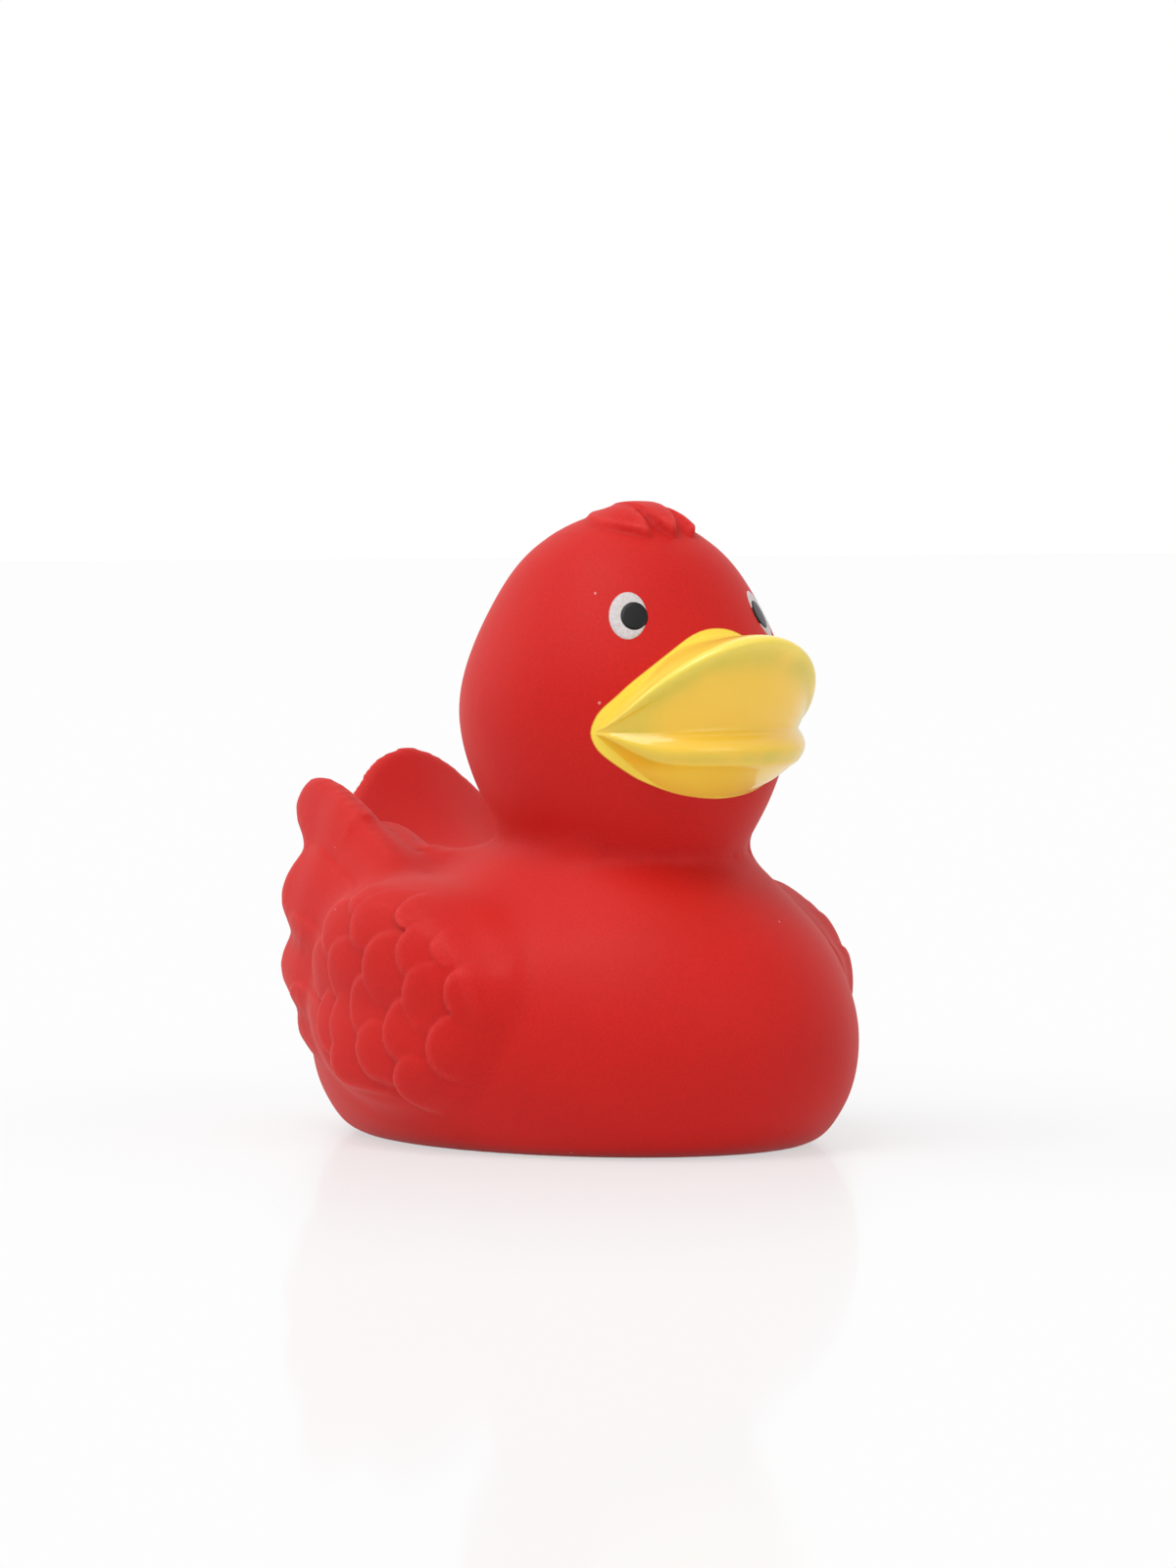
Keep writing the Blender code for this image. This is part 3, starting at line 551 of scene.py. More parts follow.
def crest_meshes():
    """The three petals of the crest, fanned over the crown."""
    made = []
    for turn, _ in PETALS:
        heading = Vector((math.cos(math.radians(turn)), math.sin(math.radians(turn)), 0))
        place = Vector((NECK_AHEAD, 0, CROWN_Z - PETAL_SUNK * MM)) + heading * PETAL_AHEAD * MM
        frame = frame_at(place, heading - Vector((0, 0, 0.10)), Vector((0, 0, 1)))
        extent = [v * MM for v in PETAL_SIZE]
        made.append(pillow(frame, *extent, columns=40, rows=20, fullness=2.0, bend=PETAL_DROOP * MM))
    return made


def mirrored(mesh):
    """A copy of a mesh on the duck's other side."""
    copy = mesh.copy()
    bmesh.ops.scale(copy, vec=(1, -1, 1), verts=copy.verts)
    bmesh.ops.reverse_faces(copy, faces=copy.faces)
    return copy


def scale_rise(place, tip, heading, length, radius, edge, slope):
    """The height, from 0 to 1, of a round-tipped scale, which sinks by its slope behind its tip."""
    behind = -(place - tip).dot(heading)
    across = (place - tip).dot(Vector((-heading.y, heading.x)))
    spine = min(max(behind, radius), max(radius, length - radius))
    inside = radius - math.hypot(behind - spine, across)
    if inside <= 0:
        return 0.0, across
    dome = 0.92 + 0.08 * smooth_step(1.4 * inside / radius)
    return (1 - slope * max(0.0, behind) / length) * dome * smooth_step(inside / edge), across / radius


def wing_height(x, z, step, edge):
    """The height of a wing's feathers at a place: overlapping scales over long flight feathers."""
    place = Vector((x, z)) / MM
    best = 0.0
    held = smooth_step((1.0 - wing_reach(x, z)) / FEATHER_FADE)
    for tip_x, tip_z, width, length, turn in FEATHERS:
        if abs(place.x - tip_x) > 16 or abs(place.y - tip_z) > 10:
            continue
        tip = Vector((tip_x, tip_z))
        heading = Vector((-math.cos(math.radians(turn)), math.sin(math.radians(turn))))
        rise, _ = scale_rise(place, tip, heading, length + width / 2, width / 2, edge / MM, 1.0)
        best = max(best, rise * held)
    started = 1 - smooth_step((place.x - QUILL_START) / QUILL_FADE)
    fade = started * smooth_step((place.x - QUILL_END) / QUILL_FADE)
    for root_x, root_z, _, tip_x, tip_z, _, width, _ in QUILLS:
        along = Vector((tip_x - root_x, tip_z - root_z))
        tip = Vector((root_x, root_z)) + along
        reach, heading = along.length, along.normalized()
        rise, across = scale_rise(place, tip, heading, reach, 0.5 * width, QUILL_EDGE * edge / MM, 0.5)
        best = max(best, QUILL_RISE * rise * (0.65 - 0.35 * across) * fade)
    return step * best


def petal_height(x, y, step):
    """The height of the crest's petals, pointed and combed forward over the crown."""
    place = Vector((x - NECK_AHEAD, y)) / MM
    best = 0.0
    for turn, side in PETALS:
        tip = Vector((math.cos(math.radians(turn)), math.sin(math.radians(turn)))) * PETAL_REACH
        along = tip - Vector((PETAL_ROOT, 1.0 * side))
        heading = along.normalized()
        behind = (tip - place).dot(heading) / along.length
        if not 0 < behind < 1:
            continue
        arc = math.sin(math.pi * behind)
        across = (place - tip).dot(Vector((-heading.y, heading.x))) - side * PETAL_BOW * arc
        inside = PETAL_HALF_WIDTH * arc**0.6 - abs(across)
        rise = SIDE_PETAL_RISE if side else 1.0
        best = max(best, smooth_step(inside / PETAL_EDGE) * (1 - 0.6 * behind) * rise)
    return step * best


def object_of(name, mesh):
    data = bpy.data.meshes.new(name)
    mesh.to_mesh(data)
    mesh.free()
    made = bpy.data.objects.new(name, data)
    bpy.context.scene.collection.objects.link(made)
    return made


def joined(name, meshes):
    """One object that holds several closed meshes."""
    whole = bmesh.new()
    for mesh in meshes:
        part = bpy.data.meshes.new("part")
        mesh.to_mesh(part)
        mesh.free()
        whole.from_mesh(part)
        bpy.data.meshes.remove(part)
    return object_of(name, whole)


def settled(target):
    """The object with what its modifiers make as its own mesh."""
    graph = bpy.context.evaluated_depsgraph_get()
    result = bpy.data.meshes.new_from_object(target.evaluated_get(graph))
    target.modifiers.clear()
    target.data = result
    return target


def cut(target, cutter):
    step = target.modifiers.new("cut", "BOOLEAN")
    step.operation = "DIFFERENCE"
    step.solver = "MANIFOLD"
    step.object = cutter
    settled(target)
    bpy.data.objects.remove(cutter)


def softened(mesh, verts):
    """Moves the given points halfway to the middle of their neighbours."""
    bmesh.ops.smooth_vert(mesh, verts=verts, factor=0.5, use_axis_x=True, use_axis_y=True, use_axis_z=True)


def finished(target, material):
    """Gives an object its one material and smooth shading."""
    target.data.materials.clear()
    target.data.materials.append(material)
    target.data.shade_smooth()


def turned_profile(points, steps=96):
    """A closed solid spun from a closed outline of (radius, height) points in millimetres."""
    mesh = bmesh.new()
    corners = [mesh.verts.new((r * MM, 0, z * MM)) for r, z in points]
    edges = [mesh.edges.new((a, b)) for a, b in zip(corners, corners[1:] + corners[:1])]
    bmesh.ops.spin(
        mesh, geom=corners + edges, cent=(0, 0, 0), axis=(0, 0, 1), angle=2 * math.pi, steps=steps,
        use_merge=True,
    )
    bmesh.ops.remove_doubles(mesh, verts=mesh.verts, dist=0.005 * MM)
    bmesh.ops.recalc_face_normals(mesh, faces=mesh.faces)
    return mesh


def bill_mesh():
    """The bill: an arched upper lip over a soft cleft and a rolled lower lip, backed into the head."""
    rows = [Vector((*row[:3], 0)) for row in BILL_ROWS]
    arches = [Vector((row[3], index)) for index, row in enumerate(BILL_ROWS)]

    def point_at(level, angle):
        f = 1 - level
        front, width, height, _ = smooth_path(rows, f)
        arch, number = smooth_path(arches, f)
        middle = min(0.0, front - 4)
        back = min(-10.0, middle - 3)
        back_z = 54.6 - number * 0.8
        ahead = math.cos(angle)
        bow = ahead**1.2 if ahead > 0 else ahead
        corner = abs(math.sin(angle)) ** 10 * smooth_step((number - 0.4) / 2.2)
        corner *= smooth_step((15 - number) / 1.6)
        shrink = smooth_step(min(f, 1 - f) / 0.012)
        width += (MOUTH_WIDTH - width) * corner * smooth_step((ahead + 0.6) / 0.6)
        height += (MOUTH_Z - height) * 0.94 * corner
        along = (front - middle if ahead > 0 else middle - back) * bow * shrink
        along -= 2.9 * (1 - max(0.0, ahead)) ** 2.5
        rise = arch * max(0.0, ahead) ** 1.5 * shrink if ahead > 0 else (height - back_z) * ahead * shrink
        return Vector((
            NECK_AHEAD / MM + BILL_AHEAD + middle + along,
            width / 2 * math.sin(angle) * shrink,
            height + rise,
        )) * MM

    return moulded(144, 150, point_at)


# Materials


def paint_line():
    """The edge of the bill's paint on the duck's left half, as short straight pieces."""
    corners = [Vector(point) for point in PAINT_EDGE]
    across = Vector((-1, 1))
    beyond = (corners[1] * across, corners[-2] * across)
    points = [smooth_path(corners, index / PAINT_STEPS, beyond) for index in range(PAINT_STEPS + 1)]
    return list(zip(points, points[1:]))


def paint_depth(place, line):
    """How far inside the edge of the bill's paint a place on the head lies, in millimetres."""
    spot = Vector((abs(place.y), place.z)) / MM
    if place.x < NECK_AHEAD + 8 * MM or not 39 < spot.y < 65 or spot.x > 18:
        return -PAINT_REACH
    nearest, inside = PAINT_REACH, False
    for start, end in line:
        step = end - start
        f = min(1.0, max(0.0, (spot - start).dot(step) / step.length_squared))
        nearest = min(nearest, (spot - start - step * f).length)
        if (start.y > spot.y) != (end.y > spot.y):
            inside ^= spot.x < start.x + step.x * (spot.y - start.y) / step.y
    return nearest if inside else -nearest


def new_group(name, numbers, results):
    """A node group that takes a place and some named numbers, and gives some others."""
    tree = bpy.data.node_groups.new(name, "ShaderNodeTree")
    tree.interface.new_socket(name="Vector", in_out="INPUT", socket_type="NodeSocketVector")
    for label, default in numbers:
        socket = tree.interface.new_socket(name=label, in_out="INPUT", socket_type="NodeSocketFloat")
        socket.default_value = default
    for label in results:
        tree.interface.new_socket(name=label, in_out="OUTPUT", socket_type="NodeSocketFloat")
    return tree, tree.nodes.new("NodeGroupInput"), tree.nodes.new("NodeGroupOutput")


def math_node(tree, operation, first, second):
    """The result of one sum on two values, each a number or another node's socket."""
    node = tree.nodes.new("ShaderNodeMath")
    node.operation = operation
    for socket, value in zip(node.inputs, (first, second)):
        if isinstance(value, bpy.types.NodeSocket):
            tree.links.new(value, socket)
        else:
            socket.default_value = value
    return node.outputs[0]


def range_node(tree, value, low, high, to_low=0.0, to_high=1.0):
    """A node that spreads a value's range over another one."""
    node = tree.nodes.new("ShaderNodeMapRange")
    node.inputs["From Min"].default_value = low
    node.inputs["From Max"].default_value = high
    node.inputs["To Min"].default_value = to_low
    node.inputs["To Max"].default_value = to_high
    tree.links.new(value, node.inputs["Value"])
    return node


def grain_group():
    """Fine moulded grain: a height for bump and a factor that varies the colour."""
    if "fine grain" in bpy.data.node_groups:
        return bpy.data.node_groups["fine grain"]
    sizes = (("Grain size", 3000.0), ("Cloud size", 90.0))
    tree, given, out = new_group("fine grain", sizes, ("Height", "Cloud"))
    fine = tree.nodes.new("ShaderNodeTexNoise")
    fine.inputs["Detail"].default_value = 3.0
    cloud = tree.nodes.new("ShaderNodeTexNoise")
    cloud.inputs["Detail"].default_value = 4.0
    for noise, label in ((fine, "Grain size"), (cloud, "Cloud size")):
        tree.links.new(given.outputs["Vector"], noise.inputs["Vector"])
        tree.links.new(given.outputs[label], noise.inputs["Scale"])
    tree.links.new(fine.outputs["Fac"], out.inputs["Height"])
    tree.links.new(cloud.outputs["Fac"], out.inputs["Cloud"])
    return tree


def fleck_group():
    """Sparse pale flecks of dust: a mask that is 1 on each fleck."""
    if "dust flecks" in bpy.data.node_groups:
        return bpy.data.node_groups["dust flecks"]
    tree, given, out = new_group("dust flecks", (("Spacing", 160.0), ("Share", 0.12)), ("Mask",))
    cells = tree.nodes.new("ShaderNodeTexVoronoi")
    tree.links.new(given.outputs["Vector"], cells.inputs["Vector"])
    tree.links.new(given.outputs["Spacing"], cells.inputs["Scale"])
    near = math_node(tree, "LESS_THAN", cells.outputs["Distance"], 0.042)
    pick = tree.nodes.new("ShaderNodeSeparateColor")
    tree.links.new(cells.outputs["Color"], pick.inputs["Color"])
    few = math_node(tree, "LESS_THAN", pick.outputs["Red"], given.outputs["Share"])
    tree.links.new(math_node(tree, "MULTIPLY", near, few), out.inputs["Mask"])
    return tree


class Recipe:
    """A material with its Principled BSDF and short ways to add nodes."""

    def __init__(self, name, **sockets):
        self.material = bpy.data.materials.new(name)
        self.material.use_nodes = True
        self.tree = self.material.node_tree
        self.shader = self.tree.nodes["Principled BSDF"]
        for label, value in sockets.items():
            self.shader.inputs[label.replace("_", " ")].default_value = value
        self.place = self.tree.nodes.new("ShaderNodeTexCoord").outputs["Object"]

    def group(self, tree, **values):
        node = self.tree.nodes.new("ShaderNodeGroup")
        node.node_tree = tree
        self.tree.links.new(self.place, node.inputs["Vector"])
        for label, value in values.items():
            node.inputs[label.replace("_", " ")].default_value = value
        return node

    def attribute(self, name):
        node = self.tree.nodes.new("ShaderNodeAttribute")
        node.attribute_name = name
        return node.outputs["Fac"]

    def mix(self, factor, first, second, blend="MIX"):
        node = self.tree.nodes.new("ShaderNodeMix")
        node.data_type = "RGBA"
        node.blend_type = blend
        for socket, value in ((node.inputs[0], factor), (node.inputs[6], first), (node.inputs[7], second)):
            if isinstance(value, bpy.types.NodeSocket):
                self.tree.links.new(value, socket)
            elif isinstance(value, (int, float)):
                socket.default_value = value
            else:
                socket.default_value = (*value, 1)
        return node.outputs[2]

    def fit(self, value, low, high, to_low=0.0, to_high=1.0):
        return range_node(self.tree, value, low, high, to_low, to_high).outputs["Result"]

    def times(self, first, second):
        return math_node(self.tree, "MULTIPLY", first, second)

    def bump(self, height, strength, distance):
        node = self.tree.nodes.new("ShaderNodeBump")
        node.inputs["Strength"].default_value = strength
        node.inputs["Distance"].default_value = distance
        self.tree.links.new(height, node.inputs["Height"])
        self.tree.links.new(node.outputs["Normal"], self.shader.inputs["Normal"])

    def feed(self, label, value):
        self.tree.links.new(value, self.shader.inputs[label])


def rubber_material(settings, paints):
    """Matt red rubber with a dusty bloom, painted shade in creases, painted highlight on ridges, yellow paint
    round the bill.
    """
    made = Recipe(
        "red rubber", Roughness=0.6, Sheen_Weight=0.10, Sheen_Roughness=0.4, Sheen_Tint=(1.0, 0.55, 0.5, 1),
        Specular_IOR_Level=0.22,
    )
    grain = made.group(grain_group(), Grain_size=3600.0, Cloud_size=60.0)
    flecks = made.group(fleck_group(), Spacing=230.0, Share=0.10)
    base = made.mix(made.fit(grain.outputs["Cloud"], 0.3, 0.7, 0.0, 0.22), settings.red, settings.grain_and_shade_red)
    # Painted shade in the creases and painted highlight on the ridges
    base = made.mix(made.attribute("crease_shade"), base, settings.grain_and_shade_red)
    base = made.mix(made.attribute("ridge_highlight"), base, settings.ridge_highlight_red)
    base = made.mix(made.fit(grain.outputs["Height"], 0.35, 0.65, 0.0, 0.32), base, settings.grain_and_shade_red)
    base = made.mix(made.times(flecks.outputs["Mask"], 0.5), base, (0.85, 0.45, 0.42))
    painted = made.fit(made.attribute("paint"), -0.08, 0.08)
    made.feed("Base Color", made.mix(painted, base, paints.yellow))
    made.feed("Roughness", made.fit(painted, 0.0, 1.0, 0.58, 0.28))
    made.bump(grain.outputs["Height"], 0.22, 0.05 * MM)
    return made.material


def bill_material(settings):
    """Glossy yellow paint, darker orange under the upper lip as painted shade, with a greenish film rubbed
    along the lips.
    """
    made = Recipe("bill paint", Roughness=0.36, Coat_Weight=0.6, Coat_Roughness=0.05)
    grain = made.group(grain_group(), Grain_size=900.0, Cloud_size=150.0)
    # Painted shade under the upper lip
    base = made.mix(made.attribute("under_lip_shade"), settings.yellow, settings.shaded_front_yellow)
    film = made.times(made.attribute("film"), made.fit(grain.outputs["Cloud"], 0.32, 0.66, 0.20, 0.95))
    base = made.mix(film, base, settings.smudge)
    made.feed("Base Color", base)
    made.feed("Roughness", made.fit(grain.outputs["Cloud"], 0.3, 0.7, 0.30, 0.42))
    made.bump(grain.outputs["Height"], 0.08, 0.05 * MM)
    return made.material


def eye_material(name, paint, roughness):
    """Printed eye paint over the rubber's grain."""
    made = Recipe(name, Roughness=roughness, Specular_IOR_Level=0.2)
    grain = made.group(grain_group(), Grain_size=2600.0, Cloud_size=700.0)
    darker = [c * 0.72 for c in paint]
    speckle = made.fit(grain.outputs["Height"], 0.35, 0.65, 0.0, 0.6)
    made.feed("Base Color", made.mix(speckle, paint, darker))
    made.bump(grain.outputs["Height"], 0.1, 0.04 * MM)
    return made.material


def plastic_material():
    """White moulded plastic with a faint sheen."""
    made = Recipe("white plastic", Roughness=0.35)
    grain = made.group(grain_group(), Grain_size=1500.0, Cloud_size=200.0)
    made.feed("Base Color", made.mix(
        made.fit(grain.outputs["Cloud"], 0.3, 0.7, 0.0, 0.5), (0.80, 0.80, 0.77), (0.70, 0.70, 0.66),
    ))
    made.feed("Roughness", made.fit(grain.outputs["Cloud"], 0.3, 0.7, 0.30, 0.42))
    made.bump(grain.outputs["Height"], 0.06, 0.04 * MM)
    return made.material


# Operators


class DUCK_OT_skin(bpy.types.Operator):
    """Mould the duck's rubber skin: torso, head, tail, wings and crest in one hollow piece."""

    bl_idname = "duck.skin"
    bl_label = "Rubber skin"

    def execute(self, context):
        settings = context.scene.duck_skin
        wing = pad_meshes() + quill_meshes()
        pieces = [skin_mesh(160, 140, settings.wing_rise), tail_mesh()] + crest_meshes()
        pieces += wing + [mirrored(mesh) for mesh in wing]
        body = joined("rubber_skin", pieces)
        remesh = body.modifiers.new("one skin", "REMESH")
        remesh.mode = "VOXEL"
        remesh.voxel_size = settings.grain
        settled(body)
        self.carve(body, settings)
        hollow = object_of("hollow", skin_mesh(48, 30, settings.wing_rise, settings.wall))
        cut(body, hollow)
        cut(body, object_of("seat", turned_profile(SEAT)))
        finished(body, rubber_material(settings, context.scene.duck_paint))
        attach(body, "root")
        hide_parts("duck_body")
        return {"FINISHED"}

    def carve(self, body, settings):
        """Softens the creases, raises feathers and petals, and marks each place for painted shade, painted
        highlight and paint.
        """
        mesh = bmesh.new()
        mesh.from_mesh(body.data)
        self.soften(mesh, settings.softness)
        carved = {
            edge for face in mesh.faces if self.carved(face.calc_center_median()) for edge in face.edges
        }
        bmesh.ops.subdivide_edges(mesh, edges=list(carved), cuts=1, use_grid_fill=True)
        mesh.normal_update()
        self.raise_relief(mesh, settings)
        mesh.normal_update()
        self.mark(mesh)
        mesh.to_mesh(body.data)
        mesh.free()

    def soften(self, mesh, passes):
        """Smooths all but the base and the crest, and more the valley between each wing and the back."""
        base, crest = SMOOTHED_Z
        for _ in range(passes):
            softened(mesh, [v for v in mesh.verts if base * MM < v.co.z < crest * MM])
        valley = [v for v in mesh.verts if any(within(v.co, *region) for region in VALLEYS)]
        for _ in range(VALLEY_PASSES):
            softened(mesh, valley)

    def carved(self, place):
        """Whether feathers or petals are raised at a place, so that the mesh is made finer there."""
        if place.z > FINE_CREST_Z * MM:
            return True
        from_line = abs(place.z - (QUILL_LINE_Z - QUILL_LINE_SLOPE * place.x))
        if within(place, *FINE_QUILLS) and from_line < QUILL_LINE_REACH:
            return True
        return abs(place.y) >= FINE_ASIDE * MM and wing_reach(place.x, place.z) < FINE_WING

    def raise_relief(self, mesh, settings):
        """Raises the petals square to the crown and the feathers outwards from both sides."""
        lean = Vector(FEATHER_LEAN).normalized()
        moves = []
        for vert in mesh.verts:
            if vert.co.z > PETALS_Z * MM:
                moves.append((vert, vert.normal * petal_height(vert.co.x, vert.co.y, settings.petal_step)))
            side = -1 if vert.co.y < 0 else 1
            out = vert.normal.y * side
            if out <= FACING_LEAST or not within(vert.co, *WING_REGION):
                continue
            height = wing_height(vert.co.x, vert.co.z, settings.feather_step, settings.feather_edge)
            height *= smooth_step((out - FACING_LEAST) / FACING_FADE)
            moves.append((vert, Vector((lean.x, lean.y * -side, lean.z)) * height))
        for vert, move in moves:
            vert.co += move
        softened(mesh, [vert for vert, _ in moves])

    def mark(self, mesh):
        """Marks how hollow or proud the skin is at each place, for painted shade and highlight, and how far
        inside the paint it lies.
        """
        crease_shade = mesh.verts.layers.float.new("crease_shade")
        ridge_highlight = mesh.verts.layers.float.new("ridge_highlight")
        paint = mesh.verts.layers.float.new("paint")
        for vert in mesh.verts:
            around = [edge.other_vert(vert).co for edge in vert.link_edges]
            middle = sum(around, Vector()) / len(around)
            reach = sum((place - vert.co).length for place in around) / len(around)
            vert[crease_shade] = (middle - vert.co).dot(vert.normal) * BEND_SCALE / reach**2
        for _ in range(BEND_PASSES):
            spread = []
            for vert in mesh.verts:
                near = sum(edge.other_vert(vert)[crease_shade] for edge in vert.link_edges)
                spread.append((vert[crease_shade] + near) / (1 + len(vert.link_edges)))
            for vert, depth in zip(mesh.verts, spread):
                vert[crease_shade] = depth
        edge_line = paint_line()
        for vert in mesh.verts:
            # Convex places take painted highlight, hollow ones painted shade
            vert[ridge_highlight] = min(MOST_MARK, max(0.0, -RIDGE_GAIN * vert[crease_shade] - RIDGE_START))
            vert[crease_shade] = min(MOST_MARK, max(0.0, CREASE_GAIN * vert[crease_shade]))
            vert[paint] = paint_depth(vert.co, edge_line)


class DUCK_OT_bill(bpy.types.Operator):
    """Shape and paint the bill."""

    bl_idname = "duck.bill"
    bl_label = "Bill"

    def execute(self, context):
        mesh = bill_mesh()
        film = mesh.verts.layers.float.new("film")
        under_lip_shade = mesh.verts.layers.float.new("under_lip_shade")
        _, lip_width, lip_z, lip_arch = BILL_ROWS[UPPER_LIP]
        for vert in mesh.verts:
            ahead, _, z = vert.co / MM - Vector((NECK_AHEAD / MM + BILL_AHEAD, 0, 0))
            aside = abs(vert.co.y) / MM
            forward = math.cos(math.asin(min(1.0, aside / (lip_width / 2))))
            rim = lip_z + lip_arch * max(0.0, forward) ** 1.5
            along_rim = band(z, rim - 1.6, 1.7) * smooth_step((ahead - 2) / 3)
            corner = band(aside, 13.0, 2.2) * band(z, 50.5, 2.6)
            lower = band(z, 46.9, 0.9) * smooth_step((ahead - 1) / 3)
            vert[film] = min(1.0, 0.8 * along_rim + 0.9 * corner + 0.7 * lower)
            # Painted shade from below the upper lip's rim, fading out above the chin
            vert[under_lip_shade] = smooth_step((rim - z) / 2.0) * smooth_step((z - 45) / 2)
        bill = object_of("bill", mesh)
        finished(bill, bill_material(context.scene.duck_paint))
        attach(bill, "root")
        return {"FINISHED"}


class DUCK_OT_eyes(bpy.types.Operator):
    """Print the two eyes on the head."""

    bl_idname = "duck.eyes"
    bl_label = "Eyes"

    def execute(self, context):
        settings = context.scene.duck_paint
        skin = BVHTree.FromObject(bpy.data.objects["rubber_skin"], context.evaluated_depsgraph_get())
        white_size = (settings.eye_width, settings.eye_height)
        pupil_size = (settings.pupil_width, settings.pupil_height)
        for side, name in ((-1, "right"), (1, "left")):
            paint = eye_material(f"eye white {name}", settings.eye_white, 0.45)
            self.oval(skin, f"eye_white_{name}", side, EYE_WHITE, white_size, paint, "eye_white")
            paint = eye_material(f"pupil {name}", settings.eye_black, 0.35)
            self.oval(skin, f"pupil_{name}", side, PUPIL, pupil_size, paint, "eye_black")
        return {"FINISHED"}

    def oval(self, skin, name, side, spot, extent, material, slot):
        """A thin oval of paint laid on one side of the head."""
        turn = side * math.radians(spot.turn)
        width, tall = extent
        mesh = bmesh.new()
        bmesh.ops.create_circle(mesh, cap_ends=True, segments=64, radius=1.0)
        for depth in (0.06, 0.2, 0.2, 0.2, 0.15):
            bmesh.ops.inset_region(
                mesh, faces=[f for f in mesh.faces if len(f.verts) > 4], thickness=depth, use_boundary=True,
                use_even_offset=True,
            )
        out = Vector((math.cos(turn), math.sin(turn), EYE_TILT)).normalized()
        across = Vector((-math.sin(turn), math.cos(turn), 0))
        up = out.cross(across)
        level = Vector((math.cos(turn), math.sin(turn), 0))
        middle = Vector((NECK_AHEAD, 0, spot.height * MM)) + level * EYE_REACH * MM
        for vert in mesh.verts:
            on_rim = vert.co.length >= 0.97
            start = middle + out * 8 * MM + across * vert.co.x * width / 2 + up * vert.co.y * tall / 2
            place = skin.ray_cast(start, -out)[0]
            vert.co = place + out * (0.0 if on_rim else spot.proud * MM)
        bmesh.ops.recalc_face_normals(mesh, faces=mesh.faces)
        if sum(face.normal.dot(out) for face in mesh.faces) < 0:
            bmesh.ops.reverse_faces(mesh, faces=mesh.faces)
        made = object_of(name, mesh)
        thick = made.modifiers.new("paint", "SOLIDIFY")
        thick.thickness = EYE_PAINT
        thick.offset = -1
        settled(made)
        finished(made, material)
        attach(made, "root")


class DUCK_OT_squeaker(bpy.types.Operator):
    """Turn the plastic squeaker that is pressed into the base."""

    bl_idname = "duck.squeaker"
    bl_label = "Squeaker"

    def execute(self, context):
        made = object_of("whistle", turned_profile(WHISTLE))
        edges = made.modifiers.new("edges", "BEVEL")
        edges.width = 0.12 * MM
        edges.segments = 2
        edges.limit_method = "ANGLE"
        settled(made)
        finished(made, plastic_material())
        made.data.set_sharp_from_angle(angle=math.radians(40))
        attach(made, "root")
        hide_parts("squeaker")
        return {"FINISHED"}


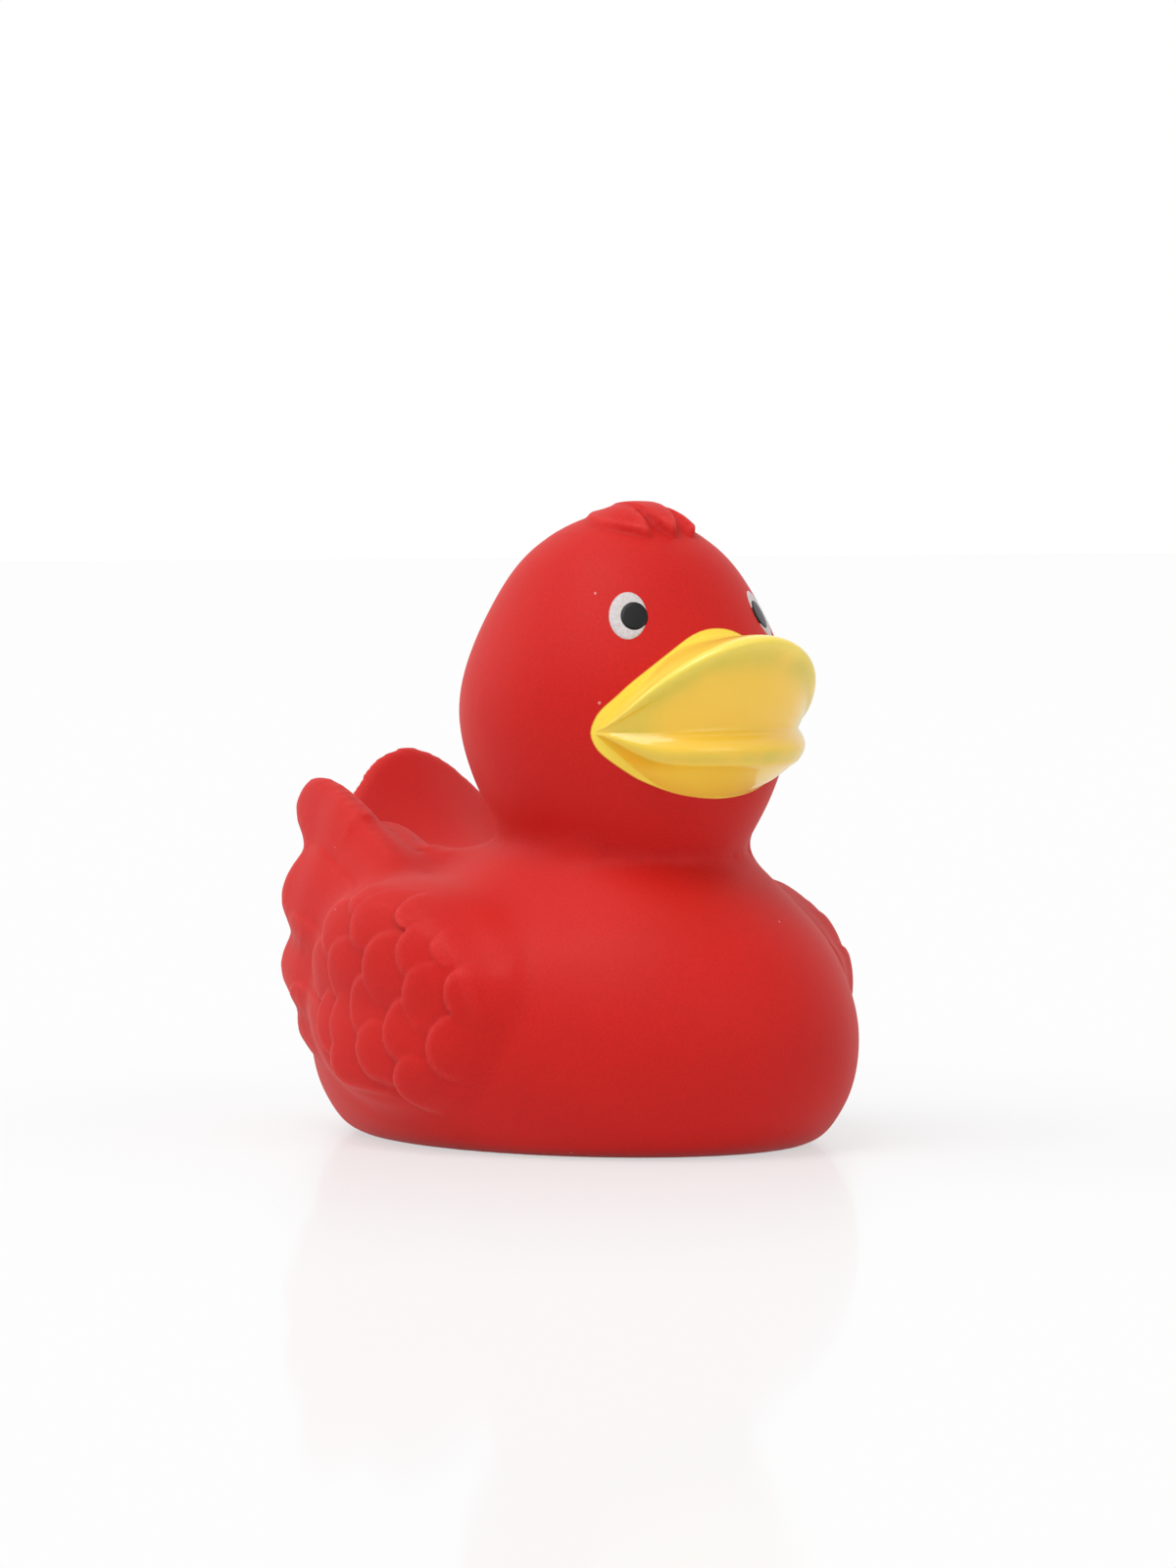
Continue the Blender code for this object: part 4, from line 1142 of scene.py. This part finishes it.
class DUCK_OT_stage(bpy.types.Operator):
    """Set out the pale floor, the soft light and the camera."""

    bl_idname = "duck.stage"
    bl_label = "Stage"

    def execute(self, context):
        settings = context.scene.duck_stage
        scene = context.scene
        scene.view_settings.view_transform = "Standard"
        mesh = bmesh.new()
        bmesh.ops.create_grid(mesh, x_segments=1, y_segments=1, size=6.0)
        floor = object_of("floor", mesh)
        floor.data.materials.append(self.floor_material())
        self.surround(scene, settings)
        for name, place, side, power in LAMPS:
            self.lamp(name, place, side, power * settings.key)
        camera = bpy.data.objects.new("camera", bpy.data.cameras.new("camera"))
        scene.collection.objects.link(camera)
        camera.data.lens = settings.lens
        camera.data.clip_start = 0.01
        back = Vector((
            math.sin(settings.azimuth) * math.cos(settings.elevation),
            -math.cos(settings.azimuth) * math.cos(settings.elevation),
            math.sin(settings.elevation),
        ))
        right = Vector((math.cos(settings.azimuth), math.sin(settings.azimuth), 0))
        aim = Vector((0, 0, settings.aim_height)) + right * AIM_ASIDE * MM
        camera.location = aim + back * settings.distance
        camera.rotation_euler = back.to_track_quat("Z", "Y").to_euler()
        scene.camera = camera
        return {"FINISHED"}

    def lamp(self, name, place, side, power):
        """A square lamp aimed at the duck."""
        data = bpy.data.lights.new(name, "AREA")
        data.shape = "SQUARE"
        data.size = side
        data.energy = power
        lamp = bpy.data.objects.new(name, data)
        bpy.context.scene.collection.objects.link(lamp)
        lamp.location = place
        back = Vector(place) - Vector((0, 0, LAMP_AIM_Z))
        lamp.rotation_euler = back.to_track_quat("Z", "Y").to_euler()

    def seen_directly(self, tree):
        """A socket that is 1 for what the camera sees, directly or in a reflection."""
        path = tree.nodes.new("ShaderNodeLightPath")
        total = path.outputs["Is Camera Ray"]
        for label in ("Is Glossy Ray", "Is Transmission Ray"):
            total = math_node(tree, "MAXIMUM", total, path.outputs[label])
        return total

    def surround(self, scene, settings):
        """White surround, which the camera sees at full strength and the duck is lit by more softly."""
        world = bpy.data.worlds.new("white surround")
        scene.world = world
        world.use_nodes = True
        tree = world.node_tree
        background = tree.nodes["Background"]
        background.inputs["Color"].default_value = (1, 1, 1, 1)
        level = range_node(tree, self.seen_directly(tree), 0.0, 1.0, settings.fill, 1.0)
        tree.links.new(level.outputs["Result"], background.inputs["Strength"])

    def floor_material(self):
        """Pale floor that fades to white away from the duck and keeps its shadow."""
        material = bpy.data.materials.new("pale floor")
        material.use_nodes = True
        tree = material.node_tree
        shader = tree.nodes["Principled BSDF"]
        shader.inputs["Base Color"].default_value = (0.86, 0.86, 0.87, 1)
        shader.inputs["Roughness"].default_value = 0.35
        white = tree.nodes.new("ShaderNodeEmission")
        white.inputs["Color"].default_value = (1, 1, 1, 1)
        place = tree.nodes.new("ShaderNodeTexCoord")
        reach = tree.nodes.new("ShaderNodeVectorMath")
        reach.operation = "LENGTH"
        tree.links.new(place.outputs["Object"], reach.inputs[0])
        fade = range_node(tree, reach.outputs["Value"], 0.04, 0.16, 0.62, 1.0)
        fade.interpolation_type = "SMOOTHSTEP"
        factor = math_node(tree, "MULTIPLY", fade.outputs["Result"], self.seen_directly(tree))
        blend = tree.nodes.new("ShaderNodeMixShader")
        tree.links.new(factor, blend.inputs[0])
        tree.links.new(shader.outputs[0], blend.inputs[1])
        tree.links.new(white.outputs[0], blend.inputs[2])
        gloss = tree.nodes.new("ShaderNodeBsdfGlossy")
        gloss.inputs["Roughness"].default_value = 0.08
        polish = tree.nodes.new("ShaderNodeMixShader")
        polish.inputs[0].default_value = 0.07
        tree.links.new(blend.outputs[0], polish.inputs[1])
        tree.links.new(gloss.outputs[0], polish.inputs[2])
        tree.links.new(polish.outputs[0], tree.nodes["Material Output"].inputs["Surface"])
        return material


class DUCK_PT_panel(bpy.types.Panel):
    """Lists the duck's settings and the operators that make it."""

    bl_label = "Bath duck"
    bl_idname = "DUCK_PT_panel"
    bl_space_type = "VIEW_3D"
    bl_region_type = "UI"
    bl_category = "Duck"

    def draw(self, context):
        layout = self.layout
        for group in (context.scene.duck_skin, context.scene.duck_paint, context.scene.duck_stage):
            box = layout.box()
            for name in group.bl_rna.properties.keys():
                if name not in ("rna_type", "name"):
                    box.prop(group, name)
        for operator in OPERATORS:
            layout.operator(operator.bl_idname)


OPERATORS = (DUCK_OT_skin, DUCK_OT_bill, DUCK_OT_eyes, DUCK_OT_squeaker, DUCK_OT_stage)
CLASSES = (DuckSkinSettings, DuckPaintSettings, DuckStageSettings, *OPERATORS, DUCK_PT_panel)


def register():
    for each in CLASSES:
        bpy.utils.register_class(each)
    bpy.types.Scene.duck_skin = bpy.props.PointerProperty(type=DuckSkinSettings)
    bpy.types.Scene.duck_paint = bpy.props.PointerProperty(type=DuckPaintSettings)
    bpy.types.Scene.duck_stage = bpy.props.PointerProperty(type=DuckStageSettings)


def unregister():
    for name in ("duck_skin", "duck_paint", "duck_stage"):
        delattr(bpy.types.Scene, name)
    for each in reversed(CLASSES):
        bpy.utils.unregister_class(each)


def main():
    register()
    bpy.ops.duck.skin()
    bpy.ops.duck.bill()
    bpy.ops.duck.eyes()
    bpy.ops.duck.squeaker()
    bpy.ops.duck.stage()


if __name__ == "__main__":
    main()
